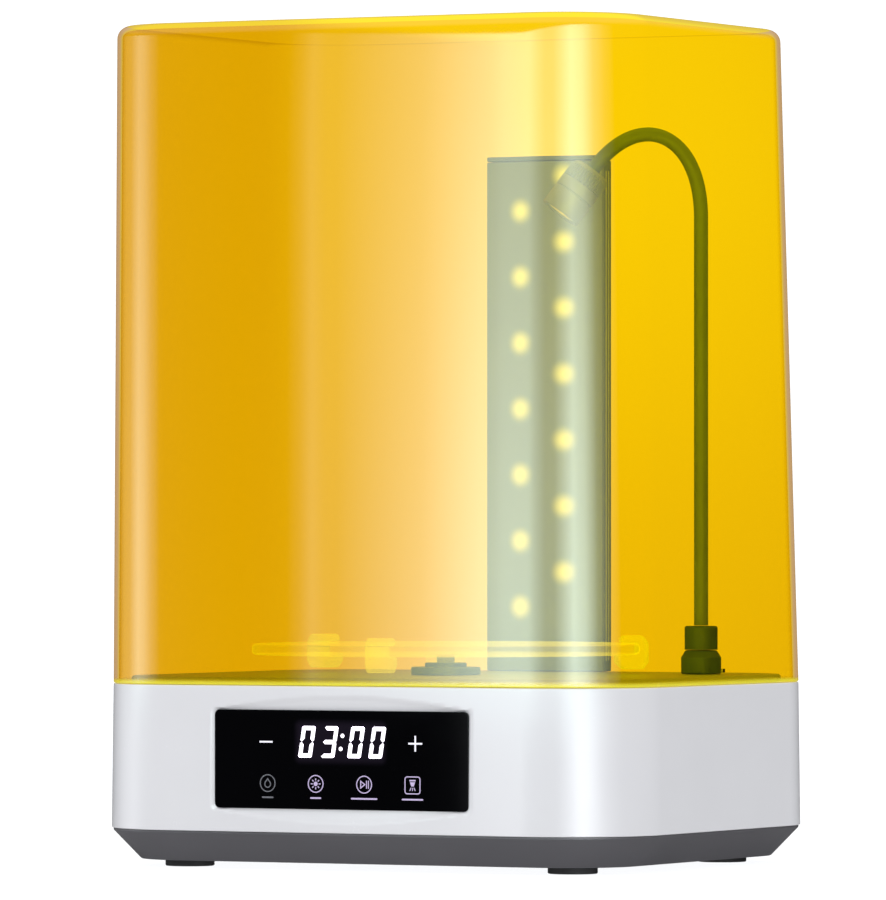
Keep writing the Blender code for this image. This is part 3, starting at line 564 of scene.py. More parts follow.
def amber_finish(name, glossy):
    """The hood's clear amber, with its gloss or without."""
    material, tree = new_tree(name)
    pane = tinted_pane(tree)
    if glossy:
        wipe = noise(tree, 60, 3)
        smooth = bump(tree, noise(tree, 5, 1), 0.0004, 0.2)
        coat = principled(tree, Base_Color=(1, 0.95, 0.92, 1), Roughness=wipe * 0.02 + 0.02, Metallic=1.0,
                          Normal=smooth)
        pane = blend_shaders(tree, gloss_share(tree), rosy_edged(tree, pane), coat)
    _, _, z = object_place(tree)
    # Painted glow: the cut foot shines yellow-green by its own emission, standing in for light carried through the
    # acrylic.
    painted_foot_glow = (1 - z.step(FOOT_GLOW_START, FOOT_GLOW_END)) * 0.6
    cloud = noise(tree, 40, 2)
    glow_colour = blend_colours(tree, cloud, (0.62, 0.60, 0.03), (0.74, 0.70, 0.05))
    glow = principled(tree, Base_Color=glow_colour, Roughness=cloud * 0.1 + 0.2, Emission_Color=glow_colour,
                      Emission_Strength=0.4)
    close_tree(tree, blend_shaders(tree, painted_foot_glow, pane, glow))
    return material


def clear_finish(name, body):
    """Clear acrylic with a painted glow: a share of it shines with its own light, most at its edges and faintly over
    its surface.
    """
    material, tree = new_tree(name)
    cloud = noise(tree, 30, 2)
    shade = blend_colours(tree, cloud, (0.84, 0.90, 0.70), (0.93, 0.98, 0.80))
    # The emission is painted light, so that the clear pieces show pale and bright.
    glow = principled(tree, Base_Color=shade, Roughness=cloud * 0.05 + 0.1, Emission_Color=shade,
                      Emission_Strength=0.6)
    share = facing(tree).maths("POWER", SCHLICK_POWER) * CLEAR_EDGE_GLOW + body
    close_tree(tree, blend_shaders(tree, share, see_through(tree, CLEAR_TINT), glow))
    return material


amber_acrylic = amber_finish("amber_acrylic", True)
amber_inner = amber_finish("amber_inner_face", False)
clear_acrylic = clear_finish("clear_acrylic", 0.10)
block_acrylic = clear_finish("block_acrylic", 0.26)
print("acrylic finishes made")

# %% [markdown]
# ## Shape helpers
# Three ways of making a surface cover nearly every piece. A loft joins rounded plans at rising heights, a
# turning spins a profile round an axis, and a prism pushes an outline along an axis. Each returns a plain mesh
# object at the origin, because a finished piece keeps its place in its mesh.

# %% Mesh helpers
CREASE = math.radians(32)


def object_from(name, shape, finish):
    """A smooth-shaded object from a bmesh, with creases kept sharp."""
    bmesh.ops.remove_doubles(shape, verts=shape.verts, dist=1e-7)
    bmesh.ops.recalc_face_normals(shape, faces=shape.faces)
    mesh = bpy.data.meshes.new(name)
    shape.to_mesh(mesh)
    shape.free()
    mesh.shade_smooth()
    mesh.set_sharp_from_angle(angle=CREASE)
    thing = bpy.data.objects.new(name, mesh)
    bpy.context.scene.collection.objects.link(thing)
    mesh.materials.append(finish)
    return thing


def baked(thing):
    """Applies a piece's modifiers, so that only its mesh is left."""
    bpy.context.view_layer.update()
    graph = bpy.context.evaluated_depsgraph_get()
    mesh = bpy.data.meshes.new_from_object(thing.evaluated_get(graph))
    thing.modifiers.clear()
    thing.data = mesh


def soften(thing, width):
    """Rounds a piece's sharp edges, as a mould does."""
    bevel = thing.modifiers.new("edge", "BEVEL")
    bevel.width = width
    bevel.segments = 3
    bevel.limit_method = "ANGLE"
    bevel.angle_limit = CREASE
    bevel.harden_normals = True
    baked(thing)


def cut_out(thing, cutter):
    """Cuts one piece's shape out of another and clears the cutter away."""
    cut = thing.modifiers.new("cut", "BOOLEAN")
    cut.object = cutter
    baked(thing)
    bpy.data.objects.remove(cutter)


def box_middle(node):
    """The lowest and highest corners of a CAD node, and its middle."""
    low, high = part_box(node)
    return low, high, (low + high) / 2


def fit(thing, body, nodes):
    """Puts a finished piece on its body, in place of the CAD nodes that it stands for."""
    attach(thing, body)
    if nodes:
        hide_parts(*nodes)


def arc(center, radius, start, end, steps):
    """Points of an arc, in degrees, both ends included."""
    points = []
    for step in range(steps + 1):
        angle = math.radians(start + (end - start) * step / steps)
        points.append((center[0] + radius * math.cos(angle), center[1] + radius * math.sin(angle)))
    return points


def rounded_plan(low, high, radius, steps=20, front=1):
    """A rounded rectangle from its lowest and highest (x, y), with its front edge cut into equal steps."""
    left, near = low
    right, far = high
    points = []
    for step in range(front):
        share = step / front
        points.append((left + radius + (right - left - 2 * radius) * share, near))
    points += arc((right - radius, near + radius), radius, -90, 0, steps)
    points += arc((right - radius, far - radius), radius, 0, 90, steps)
    points += arc((left + radius, far - radius), radius, 90, 180, steps)
    points += arc((left + radius, near + radius), radius, 180, 270, steps)[:-1]
    return points


def loft(name, rings, finish, closed=False):
    """Joins rings of (x, y, z) with equal counts; open ends are capped, or the last ring meets the first."""
    shape = bmesh.new()
    rows = [[shape.verts.new(point) for point in ring] for ring in rings]
    pairs = list(zip(rows, rows[1:]))
    if closed:
        pairs.append((rows[-1], rows[0]))
    for low, high in pairs:
        for index, vert in enumerate(low):
            after = (index + 1) % len(low)
            shape.faces.new((vert, low[after], high[after], high[index]))
    if not closed:
        shape.faces.new(rows[0])
        shape.faces.new(rows[-1])
    return object_from(name, shape, finish)


def turn(name, profile, finish, place=(0, 0, 0), axis=(0, 0, 1), steps=64, closed=False):
    """Spins a profile of (radius, height) round an axis through a place."""
    shape = bmesh.new()
    verts = [shape.verts.new((radius, 0, height)) for radius, height in profile]
    edges = [shape.edges.new(pair) for pair in zip(verts, verts[1:])]
    if closed:
        edges.append(shape.edges.new((verts[-1], verts[0])))
    bmesh.ops.spin(shape, geom=verts + edges, cent=(0, 0, 0), axis=(0, 0, 1), angle=math.tau,
                   steps=steps, use_merge=True)
    tilt = Vector((0, 0, 1)).rotation_difference(Vector(axis)).to_matrix().to_4x4()
    bmesh.ops.transform(shape, matrix=Matrix.Translation(place) @ tilt, verts=shape.verts)
    return object_from(name, shape, finish)


def prism(name, outline, low, high, finish, matrix=None):
    """Pushes an outline of (x, y) from one height to another, then places it."""
    rings = [[(x, y, z) for x, y in outline] for z in (low, high)]
    thing = loft(name, rings, finish)
    thing.data.transform(matrix or Matrix.Identity(4))
    return thing


def at_height(plan, height):
    """A plan's points as a ring at a height."""
    return [(x, y, height) for x, y in plan]


print("mesh helpers ready")

# %% [markdown]
# ## The hood
# The hood is one thin-walled moulding. Its sides lean in a little and its back leans in much more, and the
# top edge is rounded. The box of the CAD node gives its foot and its height, and the leans are worked out
# from there. The outer and inner skins are one closed surface, so the wall has a real thickness and an edge.
# Only the outer skin mirrors the studio. The inner skin has the same tint without the gloss, so that the haze
# on the front isn't doubled by the wall behind it.

# %% Hood
HOOD_WALL = 3 * MM
HOOD_FILLET = 7 * MM
HOOD_CORNER = 57 * MM
HOOD_SIDE_LEAN = 4.6 * MM
HOOD_BACK_LEAN = 18.5 * MM

hood_low, hood_high, hood_middle = box_middle("uv_hood")


def hood_ring(height, inset):
    """The hood's plan at a height, drawn in from the outer skin."""
    rise = (height - hood_low.z) / (hood_high.z - hood_low.z)
    side = HOOD_SIDE_LEAN * rise + inset
    back = HOOD_BACK_LEAN * rise
    low = (hood_low.x + side, hood_low.y + inset)
    high = (hood_high.x - side, hood_high.y - inset - back)
    radius = HOOD_CORNER - inset - 0.3 * back
    return at_height(rounded_plan(low, high, radius, 20, 12), height)


def hood_skin(foot, top, inset, fillet, steps):
    """Rings up one skin of the wall and round the top edge."""
    rings = [hood_ring(foot + (top - fillet - foot) * share / 6, inset) for share in range(7)]
    for step in range(1, steps + 1):
        angle = math.pi / 2 * step / steps
        height = top - fillet + fillet * math.sin(angle)
        rings.append(hood_ring(height, inset + fillet * (1 - math.cos(angle))))
    return rings


lip = 0.5 * MM
outer_skin = hood_skin(hood_low.z + lip, hood_high.z, 0, HOOD_FILLET, 8)
foot_edge = [hood_ring(hood_low.z, lip), hood_ring(hood_low.z, HOOD_WALL - lip)]
inner_skin = hood_skin(hood_low.z + lip, hood_high.z - HOOD_WALL, HOOD_WALL, HOOD_FILLET - HOOD_WALL, 5)
hood = loft("hood", outer_skin[::-1] + foot_edge + inner_skin, amber_acrylic)
hood.data.materials.append(amber_inner)
for face in hood.data.polygons:
    if face.normal.dot(hood_middle - face.center) > 0:
        face.material_index = 1
fit(hood, "hood", ["uv_hood"])
print("hood faces:", len(hood.data.polygons))

# %% [markdown]
# ## The base housing
# The housing is a pale rounded tub, open below, with a rim on top that the hood stands on. Its front has a
# shallow scooped surround that runs deeper towards the display, with gently arched long edges. A Boolean cut
# would leave hard edges, so the front wall is a fine grid and a smooth function pushes it in.

# %% Base housing
BASE_WALL = 4 * MM
BASE_LEAN = 1 * MM
BASE_CORNER = 58 * MM
RIM_WIDTH = 22 * MM
RIM_THICKNESS = 4 * MM
SCOOP_ARCH = 7 * MM
SCOOP_DEPTH = 1.5 * MM
FRONT_STEPS = 150
WALL_ROWS = 64

base_low, base_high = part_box("base_housing")
glass_low, glass_high, glass_middle = box_middle("touch_glass")
glass_half = (glass_high - glass_low) / 2


def smooth_share(value, low, high):
    """0 below low, 1 above high, and a smooth curve between."""
    share = min(1, max(0, (value - low) / (high - low)))
    return share * share * (3 - 2 * share)


def scoop(x, height):
    """How far the surround is sunk at a place on the front wall."""
    if abs(x) > glass_half.x + 2 * MM:
        return 0
    arch = SCOOP_ARCH * math.cos(math.pi / 2 * min(1, abs(x) / (glass_half.x + 1 * MM)))
    reach = glass_half.z + arch + 0.6 * MM - abs(height - glass_middle.z)
    side = smooth_share(glass_half.x + 1.2 * MM - abs(x), 0, 1.2 * MM)
    slope = smooth_share(reach, 0, 1.2 * MM) * (0.35 + 0.65 * min(1, max(0, reach) / (arch + 0.6 * MM)))
    return SCOOP_DEPTH * side * slope


def base_ring(height, inset, sunk=False):
    """The housing's plan at a height, with the surround sunk into its front if asked."""
    rise = (height - base_low.z) / (base_high.z - base_low.z)
    inward = BASE_LEAN * rise + inset
    plan = rounded_plan((base_low.x + inward, base_low.y + inward),
                        (base_high.x - inward, base_high.y - inward), BASE_CORNER - inward, 20, FRONT_STEPS)
    ring = []
    for index, (x, y) in enumerate(plan):
        depth = scoop(x, height) if sunk and index < FRONT_STEPS else 0
        ring.append((x, y + depth, height))
    return ring


top_round = 0.8 * MM
wall_top = base_high.z - top_round
rings = [base_ring(base_low.z, BASE_WALL), base_ring(base_low.z, 0.4 * MM)]
for row in range(WALL_ROWS + 1):
    share = row / WALL_ROWS
    rings.append(base_ring(base_low.z + 0.4 * MM + (wall_top - base_low.z - 0.4 * MM) * share, 0, True))
for step in range(1, 5):
    angle = math.pi / 2 * step / 4
    rings.append(base_ring(wall_top + top_round * math.sin(angle), top_round * (1 - math.cos(angle))))
rings.append(base_ring(base_high.z, RIM_WIDTH - BASE_LEAN))
rings.append(base_ring(base_high.z - RIM_THICKNESS, RIM_WIDTH - BASE_LEAN))
rings.append(base_ring(base_high.z - RIM_THICKNESS, BASE_WALL))
housing = loft("housing", rings, white_shell, closed=True)


def cut_box(thing, low, high, rounding):
    """Cuts a box out of a piece, with its corners rounded as seen along Y."""
    shape = bmesh.new()
    bmesh.ops.create_cube(shape, size=1)
    size = Vector(high) - Vector(low)
    bmesh.ops.scale(shape, vec=size, verts=shape.verts)
    bmesh.ops.translate(shape, vec=(Vector(high) + Vector(low)) / 2, verts=shape.verts)
    along = [edge for edge in shape.edges if abs((edge.verts[0].co - edge.verts[1].co).y) > size.y / 2]
    bmesh.ops.bevel(shape, geom=along, offset=rounding, segments=4, affect="EDGES", profile=0.5)
    cutter = object_from("cutter", shape, white_shell)
    cut_out(thing, cutter)


inlet_low, inlet_high, inlet_middle = box_middle("power_inlet")
switch_low, switch_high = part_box("switch_frame")
recess_floor = switch_high.y - 1.8 * MM
cut_box(housing, (switch_low.x - 9 * MM, recess_floor, switch_low.z - 6 * MM),
        (inlet_high.x + 10 * MM, recess_floor + 20 * MM, switch_high.z + 6 * MM), 4 * MM)
housing.data.set_sharp_from_angle(angle=CREASE)
fit(housing, "base", ["base_housing"])
print("housing faces:", len(housing.data.polygons))

# %% [markdown]
# ## The tray and its feet
# The dark tray closes the machine below, with a wide chamfer that makes the base look lighter. Its vent slots are a
# regular field, so a Geometry Nodes tree makes them: a grid of points, one box-shaped slot on each, made real and then
# cut out of the tray.

# %% Tray
TRAY_CHAMFER = 16.4 * MM
TRAY_CORNER = 57 * MM
TRAY_FLOOR = 2.5 * MM
TRAY_WALL = 3 * MM

tray_low, tray_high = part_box("bottom_tray")


def tray_ring(height, inset):
    """The tray's plan at a height, drawn in from its widest."""
    plan = rounded_plan((tray_low.x + inset, tray_low.y + inset), (tray_high.x - inset, tray_high.y - inset),
                        TRAY_CORNER - inset, 20, 12)
    return at_height(plan, height)


chamfer_in = TRAY_CHAMFER - 1 * MM
tray = loft("tray", [
    tray_ring(tray_low.z, chamfer_in + 0.5 * MM),
    tray_ring(tray_low.z + 0.15 * MM, chamfer_in + 0.15 * MM),
    tray_ring(tray_low.z + 0.5 * MM, chamfer_in - 0.3 * MM),
    tray_ring(tray_high.z - 1.3 * MM, 0.3 * MM),
    tray_ring(tray_high.z - 0.9 * MM, 0),
    tray_ring(tray_high.z, 0),
    tray_ring(tray_high.z, TRAY_WALL),
    tray_ring(tray_low.z + TRAY_FLOOR, chamfer_in + TRAY_WALL),
], tray_plastic)
print("tray faces:", len(tray.data.polygons))


# %% Geometry Nodes helper
class Pattern:
    """A small Geometry Nodes tree with named inputs, which ends in Realize Instances and Set Material."""

    def __init__(self, name, sizes):
        self.tree = bpy.data.node_groups.new(name, "GeometryNodeTree")
        self.tree.interface.new_socket("Geometry", in_out="OUTPUT", socket_type="NodeSocketGeometry")
        self.sizes = sizes
        for label, value in sizes.items():
            kind = "NodeSocketInt" if isinstance(value, int) else "NodeSocketFloat"
            self.tree.interface.new_socket(label, in_out="INPUT", socket_type=kind)
        self.group = self.tree.nodes.new("NodeGroupInput")

    def size(self, label):
        return Wire(self.tree, self.group.outputs[label])

    def node(self, kind, settings=None, inputs=None, output=0):
        return add_node(self.tree, kind, settings, inputs, output)

    def piece(self, name, geometry, finish):
        """Runs the tree and returns what it makes as a plain mesh object."""
        real = self.node("GeometryNodeRealizeInstances", {}, {0: geometry})
        painted = self.node("GeometryNodeSetMaterial", {}, {"Geometry": real, "Material": finish})
        output = self.tree.nodes.new("NodeGroupOutput")
        self.tree.links.new(painted.socket, output.inputs[0])
        thing = bpy.data.objects.new(name, bpy.data.meshes.new(name))
        bpy.context.scene.collection.objects.link(thing)
        modifier = thing.modifiers.new("pattern", "NODES")
        modifier.node_group = self.tree
        for socket in self.tree.interface.items_tree:
            if socket.in_out == "INPUT":
                modifier[socket.identifier] = self.sizes[socket.name]
        baked(thing)
        if not thing.data.materials:
            thing.data.materials.append(finish)
        return thing


print("pattern helper ready")

# %% Vent slots
VENTS_FORWARD = 50 * MM
CUTTER_DEPTH = 12 * MM
vents = Pattern("vent_slots", {
    "Across": 144 * MM, "Deep": 24 * MM, "Columns": 5, "Rows": 3, "Slot Length": 28 * MM, "Slot Width": 3 * MM,
})
grid = vents.node("GeometryNodeMeshGrid", {}, {
    "Size X": vents.size("Across"), "Size Y": vents.size("Deep"),
    "Vertices X": vents.size("Columns"), "Vertices Y": vents.size("Rows"),
})
slot_line = vents.node("GeometryNodeMeshCube", {}, {
    "Size": vents.node("ShaderNodeCombineXYZ", {}, {
        0: vents.size("Slot Length"), 1: vents.size("Slot Width"), 2: CUTTER_DEPTH,
    }),
})
slots = vents.node("GeometryNodeInstanceOnPoints", {}, {"Points": grid, "Instance": slot_line})
vent_cutter = vents.piece("vent_cutter", slots, tray_plastic)
vent_cutter.data.transform(Matrix.Translation((0, -VENTS_FORWARD, tray_low.z + TRAY_FLOOR / 2)))
cut_out(tray, vent_cutter)
tray.data.set_sharp_from_angle(angle=CREASE)
fit(tray, "base", ["bottom_tray"])
print("tray faces with vents:", len(tray.data.polygons))

# %% Feet
corners = ("front_left", "front_right", "rear_left", "rear_right")
for corner in corners:
    low, high, middle = box_middle("foot_" + corner)
    radius = (high.x - low.x) / 2
    profile = [(5 * MM, 2.2 * MM), (5 * MM, 0.4 * MM)] + arc((5.4 * MM, 0.4 * MM), 0.4 * MM, 180, 270, 3)
    profile += [(radius - 4.5 * MM, 0), (radius - 4 * MM, 0.5 * MM), (radius - 3.4 * MM, 0.5 * MM),
                (radius - 2.9 * MM, 0)]
    profile += arc((radius - 0.8 * MM, 0.8 * MM), 0.8 * MM, 270, 360, 5)
    profile += [(radius, high.z - 0.3 * MM), (radius - 0.3 * MM, high.z), (2.4 * MM, high.z), (2.4 * MM, 2.2 * MM)]
    foot = turn("foot_" + corner + "_rubber", profile, foot_rubber, (middle.x, middle.y, 0), closed=True)
    fit(foot, "base", ["foot_" + corner])
print("feet made:", len(corners))

# %% [markdown]
# ## The touch display
# The display is a slab of black glass, printed black from behind, so that only lit marks show through. The
# time is four leaning seven-segment digits. Each mark is a thin flat shape that lies just on the glass: bars
# with cut ends for the digits, and rings and short strokes for the key icons. The keys have no lettering.

# %% Display glass
glass_outline = rounded_plan((-glass_half.x, -glass_half.z), (glass_half.x, glass_half.z), 3 * MM, 8)
UPRIGHT = Matrix.Rotation(math.pi / 2, 4, "X")
TIME_HALF_WIDTH = 25 * MM
TIME_HALF_HEIGHT = 8.5 * MM
TIME_ABOVE_MIDDLE = 9.8 * MM


def glass_finish():
    """Near-black, lightly glossy glass, and the faint glow that spreads round the lit time."""
    material, tree = new_tree("black_glass")
    x, _, z = object_place(tree)
    across = (x.size() - TIME_HALF_WIDTH).at_least(0.0)
    above = ((z - (glass_middle.z + TIME_ABOVE_MIDDLE)).size() - TIME_HALF_HEIGHT).at_least(0.0)
    glow = (1 - across.away(above).step(0.0, 5 * MM)) * 0.012
    smear = noise(tree, 45, 3)
    light = blend_colours(tree, glow, (0, 0, 0), (0.75, 0.55, 1.0))
    shader = principled(tree, Base_Color=(0.001, 0.001, 0.0015, 1), Roughness=smear * 0.05 + 0.05,
                        Specular_IOR_Level=0.10, Emission_Color=light, Emission_Strength=1.0)
    close_tree(tree, shader)
    return material


black_glass = glass_finish()
glass = prism("display_glass", glass_outline, -glass_half.y, glass_half.y, black_glass,
              Matrix.Translation(glass_middle) @ UPRIGHT)
soften(glass, 0.35 * MM)
fit(glass, "base", ["touch_glass"])
print("display glass is", round(glass_half.x * 2 / MM), "mm wide")


# %% Lit marks
def lit_finish(name, colour, strength):
    """A glowing mark whose light is a little uneven, as through a printed window."""
    material, tree = new_tree(name)
    patch = noise(tree, 500, 2)
    light = blend_colours(tree, patch, tuple(c * 0.88 for c in colour), colour)
    shader = principled(tree, Base_Color=light, Roughness=patch * 0.1 + 0.3, Emission_Color=light,
                        Emission_Strength=strength)
    close_tree(tree, shader)
    return material


time_light = lit_finish("time_light", (0.96, 0.90, 1.0), 1.6)
sign_light = lit_finish("sign_light", (0.70, 0.69, 0.76), 0.6)
icon_light = lit_finish("icon_light", (0.44, 0.36, 0.56), 0.45)
dim_light = lit_finish("dim_light", (0.13, 0.13, 0.15), 0.3)
MARK_THICKNESS = 0.12 * MM
DIGIT_LEAN = math.tan(math.radians(9))


class Marks:
    """Flat marks drawn on the display in millimetres from its middle, x to the right and z up."""

    def __init__(self):
        self.shape = bmesh.new()

    def area(self, points):
        """A filled outline, pushed out a little from the glass."""
        front = glass_low.y - MARK_THICKNESS
        face = [self.shape.verts.new((x * MM, front, glass_middle.z + z * MM)) for x, z in points]
        back = [self.shape.verts.new((v.co.x, glass_low.y + 0.02 * MM, v.co.z)) for v in face]
        self.shape.faces.new(face)
        self.shape.faces.new(back[::-1])
        for index, vert in enumerate(face):
            after = (index + 1) % len(face)
            self.shape.faces.new((vert, back[index], back[after], face[after]))

    def stroke(self, start, end, width):
        """A straight bar with square ends."""
        along = Vector(end) - Vector(start)
        side = Vector((-along.y, along.x)).normalized() * width / 2
        corners = [Vector(start) + side, Vector(end) + side, Vector(end) - side, Vector(start) - side]
        self.area([tuple(corner) for corner in corners])

    def band(self, outer, inner):
        """A closed band between two outlines with equal counts, in four-sided areas."""
        for index, point in enumerate(outer):
            after = (index + 1) % len(outer)
            self.area([point, outer[after], inner[after], inner[index]])

    def ring(self, center, radius, width, steps=40):
        self.band(arc(center, radius, 0, 360, steps)[:-1], arc(center, radius - width, 0, 360, steps)[:-1])

    def disc(self, center, radius, steps=20):
        self.area(arc(center, radius, 0, 360, steps)[:-1])

    def piece(self, name, finish):
        """Turns the marks into a piece on the base."""
        fit(object_from(name, self.shape, finish), "base", [])


SEGMENTS = {"0": "abcdef", "3": "abcdg"}
DIGIT_WIDTH = 8.4
DIGIT_HEIGHT = 17.4
BAR = 2.3
CUT = 0.12


def segment_outlines():
    """The seven bars of a digit as outlines with pointed ends, from its lower left corner."""
    w, h, b, c = DIGIT_WIDTH, DIGIT_HEIGHT, BAR, CUT
    m = h / 2

    def upright(x, low, high, side):
        inner = x + b * side
        return [(x, low + c + b * 0.35), (x, high - c - b * 0.35), (x + b * 0.35 * side, high - c),
                (inner, high - c - b * 0.65), (inner, low + c + b * 0.65), (x + b * 0.35 * side, low + c)]

    def level(z, side):
        inner = z + b * side
        return [(c + b * 0.35, z), (w - c - b * 0.35, z), (w - c, z + b * 0.35 * side),
                (w - c - b * 0.65, inner), (c + b * 0.65, inner), (c, z + b * 0.35 * side)]

    middle = [(c, m), (c + b * 0.5, m + b / 2), (w - c - b * 0.5, m + b / 2), (w - c, m),
              (w - c - b * 0.5, m - b / 2), (c + b * 0.5, m - b / 2)]
    return {"a": level(h, -1), "b": upright(w, m, h, -1), "c": upright(w, 0, m, -1), "d": level(0, 1),
            "e": upright(0, 0, m, 1), "f": upright(0, m, h, 1), "g": middle}


def lean(points, x, z):
    """An outline moved to a place and leaned over, as the digits are."""
    return [(x + px + pz * DIGIT_LEAN, z + pz) for px, pz in points]


time_marks = Marks()
outlines = segment_outlines()
TIME_Z = 1.2
digit_places = {-26.4: "0", -12.2: "3", 4.2: "0", 17.4: "0"}
for x, digit in digit_places.items():
    for name in SEGMENTS[digit]:
        time_marks.area(lean(outlines[name], x, TIME_Z))
for height in (5.0, 12.2):
    time_marks.disc((-0.6 + height * DIGIT_LEAN, TIME_Z + height), 1.15)
time_marks.piece("time_digits", time_light)
print("digits:", len(digit_places))

# %% Plus and minus keys
SIGN_Z = 9.6
sign_marks = Marks()
sign_marks.stroke((-50.6, SIGN_Z), (-42.4, SIGN_Z), 0.95)
sign_marks.stroke((42.2, SIGN_Z), (50.8, SIGN_Z), 0.95)
sign_marks.stroke((46.5, SIGN_Z - 4.3), (46.5, SIGN_Z + 4.3), 0.95)
sign_marks.piece("plus_minus_marks", sign_light)
print("plus and minus drawn")

# %% Key icons
ICON_Z = -13.2
ICON_RADIUS = 4.9
LINE = 0.55
icon_places = (-45.5, -15.4, 14.8, 44.8)


def round_square(center, half, radius):
    """A square outline with round corners about a middle."""
    low = (center[0] - half, center[1] - half)
    high = (center[0] + half, center[1] + half)
    return rounded_plan(low, high, radius, 6)


wash = Marks()
wash_center = (icon_places[0], ICON_Z)
wash.ring(wash_center, ICON_RADIUS, LINE)
drop = [(wash_center[0], ICON_Z + 2.9)] + arc((wash_center[0], ICON_Z - 0.5), 2.1, 35, -215, 18)
inner_drop = [(wash_center[0], ICON_Z + 1.9)] + arc((wash_center[0], ICON_Z - 0.5), 1.55, 35, -215, 18)
wash.band(drop, inner_drop)
wash.piece("wash_icon", dim_light)

cure = Marks()
cure_center = (icon_places[1], ICON_Z)
cure.ring(cure_center, ICON_RADIUS, LINE)
cure.disc(cure_center, 1.25)
for turn_index in range(8):
    angle = math.tau * turn_index / 8
    direction = Vector((math.cos(angle), math.sin(angle)))
    cure.stroke(Vector(cure_center) + direction * 1.9, Vector(cure_center) + direction * 3.0, 0.6)
cure.piece("cure_icon", icon_light)

start = Marks()
start_x = icon_places[2]
start.ring((start_x, ICON_Z), ICON_RADIUS, LINE)
outer_play = [(start_x - 2.4, ICON_Z - 2.4), (start_x + 0.9, ICON_Z), (start_x - 2.4, ICON_Z + 2.4)]
inner_play = [(start_x - 1.8, ICON_Z - 1.3), (start_x, ICON_Z), (start_x - 1.8, ICON_Z + 1.3)]
start.band(outer_play, inner_play)
start.stroke((start_x + 1.5, ICON_Z - 2.2), (start_x + 1.5, ICON_Z + 2.2), LINE)
start.stroke((start_x + 2.7, ICON_Z - 2.2), (start_x + 2.7, ICON_Z + 2.2), LINE)
start.piece("start_icon", icon_light)

spot = Marks()
spot_x = icon_places[3]
spot.band(round_square((spot_x, ICON_Z), 4.9, 1.6), round_square((spot_x, ICON_Z), 4.9 - LINE, 1.1))
spot.area([(spot_x - 1.9, ICON_Z + 3.0), (spot_x + 1.9, ICON_Z + 3.0), (spot_x + 1.9, ICON_Z + 2.2),
           (spot_x - 1.9, ICON_Z + 2.2)])
spot.area([(spot_x - 1.6, ICON_Z + 1.7), (spot_x + 1.6, ICON_Z + 1.7), (spot_x + 0.8, ICON_Z - 0.6),
           (spot_x - 0.8, ICON_Z - 0.6)])
for side in (-1, 0, 1):
    spot.stroke((spot_x + side * 0.9, ICON_Z - 1.3), (spot_x + side * 1.7, ICON_Z - 3.0), 0.45)
spot.piece("spot_icon", icon_light)
print("icons at x =", icon_places)

# %% [markdown]
# Under each icon sits a short plain bar in place of a word. It shows where the key's label is and says
# nothing.

# %% Key bars
BAR_Z = -21.0
lit_bars = Marks()
dim_bar = Marks()
for index, (x, half) in enumerate(zip(icon_places, (3.6, 3.4, 8.2, 6.6))):
    marks = dim_bar if index == 0 else lit_bars
    marks.area(rounded_plan((x - half, BAR_Z - 0.45), (x + half, BAR_Z + 0.45), 0.44, 4))
lit_bars.piece("key_bars", icon_light)
dim_bar.piece("wash_key_bar", dim_light)
print("key bars drawn")

# %% [markdown]
# ## Deck, hub and turntable
# Inside the hood a grey raised deck plate covers the drive. A stepped hub comes up through it and carries the
# clear turntable. Round pieces are turned from a profile, with every corner rounded by an arc or a bevel.

# %% Deck plate
DECK_CORNER = 47 * MM
deck_low, deck_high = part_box("deck_plate")
rim_top = base_high.z + 0.3 * MM


def deck_ring(height, inset):
    """The deck's plan at a height, drawn in from its widest."""
    radius = max(8 * MM, DECK_CORNER - inset)
    plan = rounded_plan((deck_low.x + inset, deck_low.y + inset), (deck_high.x - inset, deck_high.y - inset),
                        radius, 20, 12)
    return at_height(plan, height)


skirt = 11.6 * MM
rings = [deck_ring(deck_high.z - 3 * MM, skirt + 3 * MM), deck_ring(deck_low.z, skirt + 3 * MM),
         deck_ring(deck_low.z, skirt), deck_ring(rim_top, skirt), deck_ring(rim_top, 0)]
for step in range(7):
    angle = math.pi / 2 * step / 6
    rings.append(deck_ring(deck_high.z - 1.8 * MM + 1.8 * MM * math.sin(angle), 1.8 * MM * (1 - math.cos(angle))))
rings += [deck_ring(deck_high.z, 9 * MM), deck_ring(deck_high.z - 0.6 * MM, 9.6 * MM),
          deck_ring(deck_high.z - 0.6 * MM, 10.6 * MM), deck_ring(deck_high.z, 11.2 * MM)]
deck = loft("deck", rings, deck_plastic)
hub_low, hub_high, hub_middle = box_middle("drive_hub")
socket_low, socket_high, socket_middle = box_middle("lamp_socket")


def cut_round(thing, place, radius):
    """Drills an upright round hole through a piece."""
    drill = turn("drill", [(0, 0.3), (radius, 0.3), (radius, 0), (0, 0)], deck_plastic, (place.x, place.y, 0))
    cut_out(thing, drill)


HUB_HOLE = 11.3 * MM
SOCKET_HOLE = 9.3 * MM
cut_round(deck, hub_middle, HUB_HOLE)
cut_round(deck, socket_middle, SOCKET_HOLE)
deck.data.set_sharp_from_angle(angle=CREASE)
fit(deck, "base", ["deck_plate"])
print("deck faces:", len(deck.data.polygons))

# %% Hub
HUB_PIN = 5 * MM
HUB_STEP = 11.75 * MM
HUB_STEP_TOP = 113.4 * MM
HUB_PLATE_TOP = 111 * MM
MAGNET_INNER, MAGNET_OUTER = 11.7 * MM, 17.3 * MM
MAGNET_ROOF = 109.8 * MM
SHAFT_BORE = 4.3 * MM
SHAFT_END = 112.3 * MM

